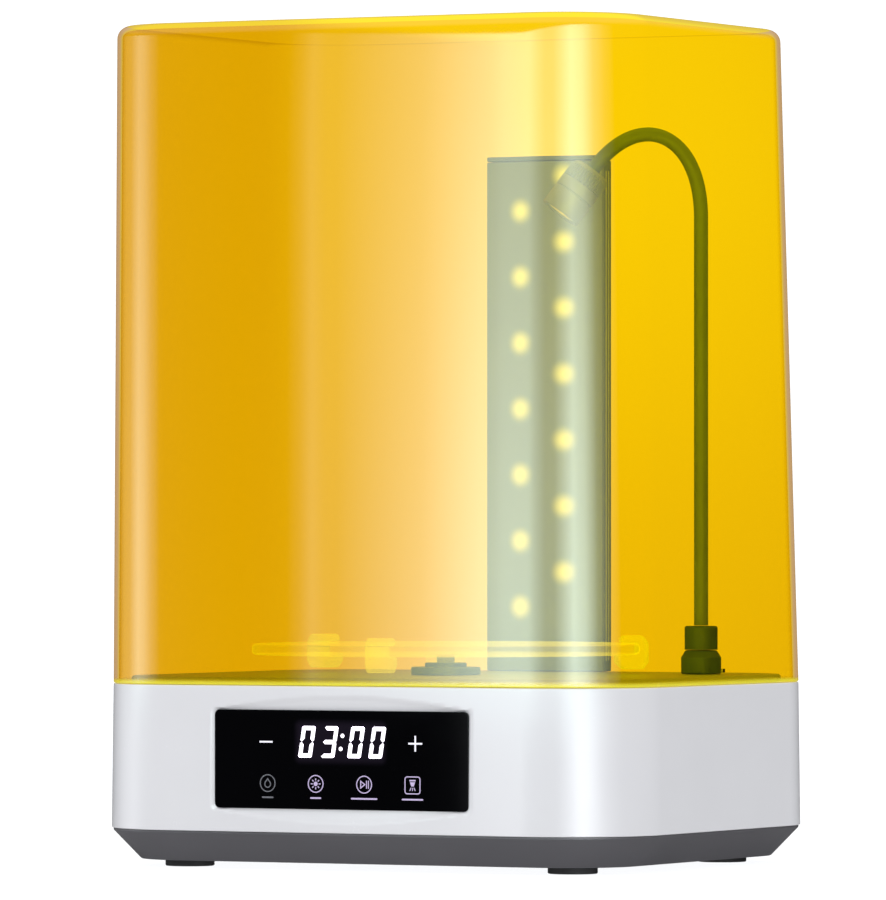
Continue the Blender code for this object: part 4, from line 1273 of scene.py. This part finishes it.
hub_radius = (hub_high.x - hub_low.x) / 2
profile = [(0, hub_high.z), (HUB_PIN - 0.6 * MM, hub_high.z), (HUB_PIN, hub_high.z - 0.6 * MM),
           (HUB_PIN, HUB_STEP_TOP)]
profile += arc((HUB_STEP - 0.8 * MM, HUB_STEP_TOP - 0.8 * MM), 0.8 * MM, 90, 0, 5)
profile += [(HUB_STEP, HUB_PLATE_TOP)]
profile += arc((hub_radius - 0.9 * MM, HUB_PLATE_TOP - 0.9 * MM), 0.9 * MM, 90, 0, 5)
profile += [(hub_radius, hub_low.z), (MAGNET_OUTER, hub_low.z), (MAGNET_OUTER, MAGNET_ROOF),
            (MAGNET_INNER, MAGNET_ROOF), (MAGNET_INNER, hub_low.z), (SHAFT_BORE, hub_low.z),
            (SHAFT_BORE, SHAFT_END), (0, SHAFT_END)]
hub = turn("hub", profile, hub_plastic, (hub_middle.x, hub_middle.y, 0), steps=96)
fit(hub, "spindle", ["drive_hub"])
print("hub radius in mm:", round(hub_radius / MM, 1))

# %% Turntable disc
disc_low, disc_high, disc_middle = box_middle("turntable_disc")
disc_radius = (disc_high.x - disc_low.x) / 2
disc_under = disc_high.z - 6 * MM
edge = 2 * MM
profile = [(0, disc_high.z), (disc_radius - 9 * MM, disc_high.z), (disc_radius - 8.4 * MM, disc_high.z - 0.5 * MM),
           (disc_radius - 7.6 * MM, disc_high.z - 0.5 * MM), (disc_radius - 7 * MM, disc_high.z)]
profile += arc((disc_radius - edge, disc_high.z - edge), edge, 90, 0, 6)
profile += arc((disc_radius - edge, disc_under + edge), edge, 0, -90, 6)
profile += [(11 * MM, disc_under), (11 * MM, disc_low.z), (5.3 * MM, disc_low.z), (5.3 * MM, disc_low.z + 4.1 * MM),
            (0, disc_low.z + 4.1 * MM)]
disc = turn("turntable", profile, clear_acrylic, (disc_middle.x, disc_middle.y, 0), steps=128)
fit(disc, "turntable", ["turntable_disc"])
print("turntable radius in mm:", round(disc_radius / MM, 1))

# %% Rim blocks
BLOCK_WIDTH = 13 * MM
BLOCK_INNER, BLOCK_OUTER = 97.5 * MM, 115.2 * MM
BLOCK_WAIST, BLOCK_SHOULDER = 113 * MM, 124 * MM
BLOCK_GAP = 0.3 * MM
for side in ("left", "front", "right"):
    low, high, block_middle = box_middle("rim_block_" + side)
    toward = block_middle - disc_middle
    angle = math.atan2(toward.y, toward.x)
    slot_foot, slot_top = disc_under - BLOCK_GAP, disc_high.z + BLOCK_GAP
    outline = [
        (BLOCK_INNER, slot_foot), (BLOCK_INNER, BLOCK_WAIST), (BLOCK_INNER + 4 * MM, low.z),
        (BLOCK_OUTER - 3 * MM, low.z), (BLOCK_OUTER, BLOCK_WAIST), (BLOCK_OUTER, BLOCK_SHOULDER),
        (BLOCK_OUTER - 2 * MM, high.z - 1.5 * MM), (BLOCK_OUTER - 3.5 * MM, high.z),
        (BLOCK_INNER + 5 * MM, high.z), (BLOCK_INNER + 3 * MM, high.z - 1.5 * MM), (BLOCK_INNER + 3 * MM, slot_top),
        (disc_radius + BLOCK_GAP, slot_top), (disc_radius + BLOCK_GAP, slot_foot),
    ]
    place = Matrix.Translation((disc_middle.x, disc_middle.y, 0)) @ Matrix.Rotation(angle, 4, "Z") @ UPRIGHT
    block = prism("rim_block_" + side + "_clear", outline, -BLOCK_WIDTH / 2, BLOCK_WIDTH / 2, block_acrylic, place)
    soften(block, 0.9 * MM)
    fit(block, "turntable", ["rim_block_" + side])
print("rim blocks made")

# %% [markdown]
# ## The light tower
# The tower is a flat grey column behind the turntable. Its front is a frosted sheet with a shallow fold, and
# the lamps behind it show as soft spots in two staggered columns. The spots are part of the sheet's finish: a
# repeating distance to the nearest lamp, which falls off smoothly.

# %% Tower finish
LED_COUNT = 7
LED_PITCH = 37.9 * MM
LED_OFFSET = 14 * MM
LED_TOP = {-1: 371 * MM, 1: 391 * MM}
LED_SPREAD = 9.5 * MM


def diffuser_finish():
    """A frosted pale sheet with a soft spot of light over each lamp."""
    material, tree = new_tree("frosted_diffuser")
    x, _, z = object_place(tree)
    cloud = noise(tree, 30, 2)
    glow = 0
    for side, top in LED_TOP.items():
        lowest = top - LED_PITCH * (LED_COUNT - 1)
        across = x - side * LED_OFFSET
        nearest = (z - lowest) / LED_PITCH
        whole = nearest.maths("ROUND").at_least(0.0).maths("MINIMUM", LED_COUNT - 1.0)
        along = (nearest - whole) * LED_PITCH
        glow = (1 - across.away(along).step(0.0, LED_SPREAD)) + glow
    shade = blend_colours(tree, cloud, (0.185, 0.29, 0.235), (0.215, 0.33, 0.265))
    light = blend_colours(tree, glow, (0, 0, 0), (1.0, 0.99, 0.86))
    fine = noise(tree, 1500, 3)
    shader = principled(tree, Base_Color=shade, Roughness=fine * 0.1 + 0.4, Emission_Color=light,
                        Emission_Strength=0.75, Normal=bump(tree, fine, 0.00003))
    close_tree(tree, shader)
    return material


frosted_diffuser = diffuser_finish()
print("diffuser finish made")

# %% Tower housing, sheet and cap
tower_low, tower_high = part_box("tower_housing")
sheet_low, sheet_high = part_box("tower_diffuser")
cap_low, cap_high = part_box("tower_cap")
TOWER_FOLD = 4.5 * MM
SHELL_FRONT = 3.2 * MM
TOWER_WALL = 2 * MM
half = tower_high.x
fold_y = sheet_low.y
edge_y = fold_y + TOWER_FOLD
inside_y = tower_high.y - TOWER_WALL
shell_outline = [
    (-half, tower_high.y), (-half, edge_y + SHELL_FRONT), (-half + TOWER_WALL, edge_y + SHELL_FRONT - 0.2 * MM),
    (-half + TOWER_WALL, inside_y), (half - TOWER_WALL, inside_y),
    (half - TOWER_WALL, edge_y + SHELL_FRONT - 0.2 * MM), (half, edge_y + SHELL_FRONT), (half, tower_high.y),
]
shell = prism("tower_shell", shell_outline, tower_low.z, tower_high.z, tower_plastic)
soften(shell, 0.5 * MM)
fit(shell, "base", ["tower_housing"])

sheet_back = SHELL_FRONT - 0.3 * MM
sheet_outline = [(-half, edge_y + sheet_back), (-half, edge_y)]
sheet_outline += [(-4 * MM, fold_y + 0.48 * MM), (-2 * MM, fold_y + 0.26 * MM), (0, fold_y + 0.18 * MM),
                  (2 * MM, fold_y + 0.26 * MM), (4 * MM, fold_y + 0.48 * MM)]
sheet_outline += [(half, edge_y), (half, edge_y + sheet_back), (0, fold_y + sheet_back)]
sheet = prism("tower_sheet", sheet_outline, sheet_low.z, sheet_high.z, frosted_diffuser)
soften(sheet, 0.6 * MM)
fit(sheet, "base", ["tower_diffuser"])

cap_outline = [(-half, cap_high.y), (-half, edge_y), (0, fold_y), (half, edge_y), (half, cap_high.y)]
cap = prism("tower_lid", cap_outline, cap_low.z, cap_high.z, tower_plastic)
soften(cap, 0.7 * MM)
fit(cap, "base", ["tower_cap"])
print("tower is", round(2 * half / MM, 1), "mm wide")

# %% Bead lines down the tower's sides
BEAD_WIDTH = 0.8 * MM
BEAD_STANDS = 0.45 * MM
for side, name in ((-1, "left"), (1, "right")):
    for order, start in enumerate((4.2 * MM, 7.4 * MM), 1):
        near, far = edge_y + start, edge_y + start + BEAD_WIDTH
        inner, outer = side * (half - 0.3 * MM), side * (half + BEAD_STANDS)
        outline = [(inner, near), (outer, near), (outer, far), (inner, far)]
        bead = prism(f"tower_bead_{name}_{order}", outline, tower_low.z + 6 * MM, tower_high.z - 6 * MM, tower_trim)
        soften(bead, 0.2 * MM)
        fit(bead, "base", [])
print("beads made")

# %% [markdown]
# ## The bendable lamp
# The lamp's plug stands in a socket in the deck. From it a rubber-covered gooseneck rises straight and hooks over
# towards the turntable, and ends in a small knurled head. The neck is one smooth tube. It crosses the joint at the top
# of the hook, and is baked in place without being put on either of the two bodies that the joint connects.

# %% Plug and socket
plug_low, plug_high, plug_middle = box_middle("plug_body")
sleeve_low, sleeve_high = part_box("plug_sleeve")
lamp_at = Vector((plug_middle.x, plug_middle.y, 0))
plug_radius = (plug_high.x - plug_low.x) / 2
sleeve_radius = (sleeve_high.x - sleeve_low.x) / 2
plug_foot = deck_high.z + 0.3 * MM
PLUG_SHOULDER = 115.6 * MM
PLUG_PIN = 4.6 * MM
SOCKET_BORE, SOCKET_RADIUS = 5 * MM, 9 * MM

profile = [(SOCKET_RADIUS, socket_high.z - 0.4 * MM), (SOCKET_RADIUS, socket_low.z), (SOCKET_BORE, socket_low.z),
           (SOCKET_BORE, socket_high.z - 0.6 * MM), (SOCKET_BORE + 0.6 * MM, socket_high.z),
           (SOCKET_RADIUS - 0.4 * MM, socket_high.z)]
socket = turn("deck_socket", profile, black_plastic, lamp_at, closed=True)
fit(socket, "base", ["lamp_socket"])

profile = [(0, plug_high.z), (plug_radius - 3.4 * MM, plug_high.z)]
profile += arc((plug_radius - 3.4 * MM, plug_high.z - 1.6 * MM), 1.6 * MM, 90, 30, 4)
profile += arc((plug_radius - 1.2 * MM, PLUG_SHOULDER), 1.2 * MM, 40, 0, 4)
profile += [(plug_radius, plug_foot + 0.5 * MM), (plug_radius - 0.5 * MM, plug_foot), (PLUG_PIN, plug_foot),
            (PLUG_PIN, plug_low.z + 0.8 * MM), (PLUG_PIN - 0.8 * MM, plug_low.z), (0, plug_low.z)]
plug = turn("plug_shell", profile, plug_rubber, lamp_at, steps=72)
fit(plug, "lamp_plug", ["plug_body"])

profile = [(0, sleeve_high.z), (sleeve_radius - 2.2 * MM, sleeve_high.z)]
profile += arc((sleeve_radius - 1.3 * MM, sleeve_high.z - 1.3 * MM), 1.3 * MM, 80, 0, 5)
profile += [(sleeve_radius, sleeve_low.z), (0, sleeve_low.z)]
sleeve = turn("plug_grip", profile, plug_rubber, lamp_at, steps=72)
fit(sleeve, "lamp_plug", ["plug_sleeve"])
print("plug at", [round(v / MM, 1) for v in lamp_at])

# %% Gooseneck
NECK_RADIUS = 4 * MM
NECK_BEND = 364 * MM
HOOK_REACH = 30 * MM
HEAD_RADIUS = 12 * MM
HEAD_LENGTH = 31 * MM
HEAD_FACE_OUT = 80.5 * MM
HEAD_FACE_Z = 366 * MM
HEAD_DROP = math.radians(53)

neck_low, neck_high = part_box("neck_lower")
hook_top = neck_high.z - NECK_RADIUS
joints = {joint["name"]: joint for joint in frame["joints"]}
bend_place = Vector(joints["lamp_bend"]["pos_m"])
outward = (Vector((bend_place.x, bend_place.y, 0)) - lamp_at).normalized()


def lamp_point(out, height):
    """A point in the lamp's upright plane: a distance out from its plug, and a height."""
    return lamp_at + outward * out + Vector((0, 0, height))


def head_point(along):
    """A point on the head's axis, a distance behind its face."""
    return (HEAD_FACE_OUT - along * math.cos(HEAD_DROP), HEAD_FACE_Z + along * math.sin(HEAD_DROP))


def bezier(start, first, second, end, steps):
    """Points of a smooth curve between two ends, pulled towards two others; the start is left out."""
    controls = (start, first, second, end)
    points = []
    for step in range(1, steps + 1):
        t = step / steps
        weights = ((1 - t) ** 3, 3 * t * (1 - t) ** 2, 3 * t * t * (1 - t), t ** 3)
        points.append(tuple(sum(w * c[i] for w, c in zip(weights, controls)) for i in (0, 1)))
    return points


apex = (HOOK_REACH, hook_top)
neck_foot = (0, neck_low.z)
neck_path = [neck_foot] + [(0, neck_low.z + (NECK_BEND - neck_low.z) * share / 24) for share in range(1, 25)]
neck_path += bezier((0, NECK_BEND), (0, NECK_BEND + 32 * MM), (HOOK_REACH / 2, hook_top), apex, 26)
neck_path += bezier(apex, (HOOK_REACH + 14 * MM, hook_top), head_point(HEAD_LENGTH + 11 * MM),
                    head_point(HEAD_LENGTH - 0.5 * MM), 20)


def tube(name, path, radius, finish, sides=28):
    """A round tube along points in the lamp's plane, closed at both ends."""
    across = outward.cross(Vector((0, 0, 1))).normalized()
    points = [lamp_point(*point) for point in path]
    rings = []
    for index, point in enumerate(points):
        before = points[max(0, index - 1)]
        after = points[min(len(points) - 1, index + 1)]
        ahead = (after - before).normalized()
        up = across.cross(ahead).normalized()
        ring = []
        for side in range(sides):
            angle = math.tau * side / sides
            ring.append(point + across * radius * math.cos(angle) + up * radius * math.sin(angle))
        rings.append(ring)
    return loft(name, rings, finish)


neck = tube("gooseneck", neck_path, NECK_RADIUS, neck_rubber)
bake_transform(neck)
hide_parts("neck_lower", "neck_upper")
print("gooseneck points:", len(neck_path))

# %% Lamp head
# The head's profiles are measured along its axis from its open face, so places inside it are negative.
HEAD_FLOOR = -14 * MM
GROOVE = -12 * MM
LENS_RADIUS = 9.7
LENS_BACK = -5 * MM
BOARD_RADIUS = 9.5 * MM
BOARD_FRONT, BOARD_BACK = -11.7 * MM, -13.7 * MM

head_face = lamp_point(*head_point(0))
head_axis = (head_face - lamp_point(*head_point(HEAD_LENGTH))).normalized()
grip_start = HEAD_LENGTH - 11 * MM
inner_radius = HEAD_RADIUS - 2 * MM
groove_radius = HEAD_RADIUS - 0.5 * MM
profile = [(0, HEAD_FLOOR), (inner_radius, HEAD_FLOOR), (inner_radius, -0.5 * MM)]
profile += arc((HEAD_RADIUS - 1 * MM, -1 * MM), 1 * MM, 90, 0, 5)
profile += [(HEAD_RADIUS, GROOVE), (groove_radius, GROOVE - 0.4 * MM), (groove_radius, GROOVE - 1.0 * MM),
            (HEAD_RADIUS, GROOVE - 1.4 * MM), (HEAD_RADIUS, -grip_start + 0.3 * MM), (0, -grip_start + 0.3 * MM)]
head = turn("lamp_barrel", profile, head_plastic, head_face, head_axis, 72)
fit(head, "lamp_head", ["lamp_head"])

core_radius = HEAD_RADIUS - 0.7 * MM
profile = [(0, -grip_start), (core_radius, -grip_start), (core_radius, -HEAD_LENGTH + 3 * MM)]
profile += arc((core_radius - 2.6 * MM, -HEAD_LENGTH + 3 * MM), 2.6 * MM, 0, -80, 6)
profile += [(5 * MM, -HEAD_LENGTH), (0, -HEAD_LENGTH)]
collar = turn("grip_core", profile[::-1], head_plastic, head_face, head_axis, 72)
fit(collar, "lamp_head", ["head_collar"])

# %% [markdown]
# The grip's knurl is a regular field of small pyramids round a cylinder. Geometry Nodes makes it: a cylinder's
# side as points in rows, one little four-sided cone on each, turned to face outwards.

# %% Knurled grip
knurl = Pattern("knurled_grip", {"Radius": core_radius - 0.1 * MM, "Length": 7.2 * MM, "Round": 34, "Rows": 7})
ring_count = knurl.size("Round")
barrel = knurl.node("GeometryNodeMeshCylinder", {"fill_type": "NONE"}, {
    "Vertices": ring_count, "Side Segments": knurl.size("Rows"), "Radius": knurl.size("Radius"),
    "Depth": knurl.size("Length"),
})
tooth = knurl.node("GeometryNodeMeshCone", {}, {
    "Vertices": 4, "Radius Top": 0.1 * MM, "Radius Bottom": 1.15 * MM, "Depth": 0.9 * MM,
})
normal = knurl.node("GeometryNodeInputNormal")
outwards = knurl.node("FunctionNodeAlignRotationToVector", {"axis": "Z"}, {"Vector": normal})
teeth = knurl.node("GeometryNodeInstanceOnPoints", {}, {"Points": barrel, "Instance": tooth, "Rotation": outwards})
grip = knurl.piece("knurled_grip", teeth, head_plastic)
tilt = Vector((0, 0, 1)).rotation_difference(head_axis).to_matrix().to_4x4()
grip_middle = head_face - head_axis * (grip_start + 4.1 * MM)
grip.data.transform(Matrix.Translation(grip_middle) @ tilt)
fit(grip, "lamp_head", [])
print("knurl faces:", len(grip.data.polygons))


# %% Lamp lens and board
def lens_finish():
    """A lit lens: pale and glossy, with a fine uneven light."""
    material, tree = new_tree("lamp_lens_lit")
    grain = noise(tree, 700, 2)
    shade = blend_colours(tree, grain, (0.72, 0.72, 0.60), (0.88, 0.88, 0.78))
    light = blend_colours(tree, grain, (0.80, 0.78, 0.45), (1.0, 0.98, 0.70))
    shader = principled(tree, Base_Color=shade, Roughness=grain * 0.1 + 0.1, Coat_Weight=0.5,
                        Emission_Color=light, Emission_Strength=0.35)
    close_tree(tree, shader)
    return material


lens_lit = lens_finish()
profile = [(0, -0.3 * MM)]
profile += [(radius * MM, (-0.5 - 0.9 * (radius / LENS_RADIUS) ** 2) * MM)
            for radius in (2, 4, 6, 7.5, 8.8, LENS_RADIUS)]
profile += [(LENS_RADIUS * MM, LENS_BACK), (0, LENS_BACK)]
lens = turn("lamp_lens_dome", profile, lens_lit, head_face, head_axis, 64)
fit(lens, "lamp_head", ["lamp_lens"])
profile = [(0, BOARD_FRONT), (BOARD_RADIUS, BOARD_FRONT), (BOARD_RADIUS, BOARD_BACK), (0, BOARD_BACK)]
board = turn("lamp_board", profile, strip_white, head_face, head_axis, 48)
fit(board, "lamp_head", ["lamp_led_board"])
print("lamp head points down", round(math.degrees(HEAD_DROP)), "degrees")

# %% [markdown]
# ## The rear wall and what is inside
# The inlet and the rocker sit in a shallow recess at the back. Inside the base, the CAD shapes are right as
# they are, so they stay and get a finish of their own.

# %% Rear inlet
# The inlet's heights are measured outwards from its inner end.
INLET_FLOOR = 2 * MM
INLET_SHOULDER = 14.3 * MM
INLET_FACE = 15.4 * MM
INLET_BORE = 2.8 * MM
INLET_BARREL = 5.3 * MM

flange = (inlet_high.x - inlet_low.x) / 2
chamfer = 0.5 * MM
profile = [(0, INLET_FLOOR), (INLET_BORE, INLET_FLOOR), (INLET_BORE, INLET_FACE - chamfer),
           (INLET_BORE + chamfer, INLET_FACE), (flange - chamfer, INLET_FACE), (flange, INLET_FACE - chamfer),
           (flange, INLET_SHOULDER), (INLET_BARREL, INLET_SHOULDER), (INLET_BARREL, 0), (0, 0)]
inlet = turn("inlet_body", profile, black_plastic, (inlet_middle.x, inlet_low.y, inlet_middle.z), (0, 1, 0), 64)
fit(inlet, "base", ["power_inlet"])
print("inlet bore in mm:", round(2 * INLET_BORE / MM, 1))


# %% Finishes of the CAD nodes that stay
def paint(nodes, finish):
    """Gives CAD nodes that stay as they are a finish."""
    for name in nodes:
        node = frame["nodes"][name]
        node.data.materials.clear()
        node.data.materials.append(finish)


motor_screws = [f"motor_screw_{index}" for index in (1, 2, 3, 4)]
paint(["foot_screw_" + corner for corner in corners] + motor_screws, screw_steel)
paint(["drive_motor", "motor_bracket", "motor_shaft", "shaft_bearing"], motor_steel)
paint(["shaft_seal"], foot_rubber)
paint(["hub_magnet_ring", "hood_magnet"], magnet_nickel)
paint(["main_board", "touch_board", "hood_sensor"], circuit_green)
paint(["digit_display", "buzzer", "switch_frame", "power_rocker"], black_plastic)
paint(["inlet_pin"], inlet_brass)
paint(["uv_strip_left", "uv_strip_right", "icon_light_guide"], strip_white)
print("inner nodes painted")
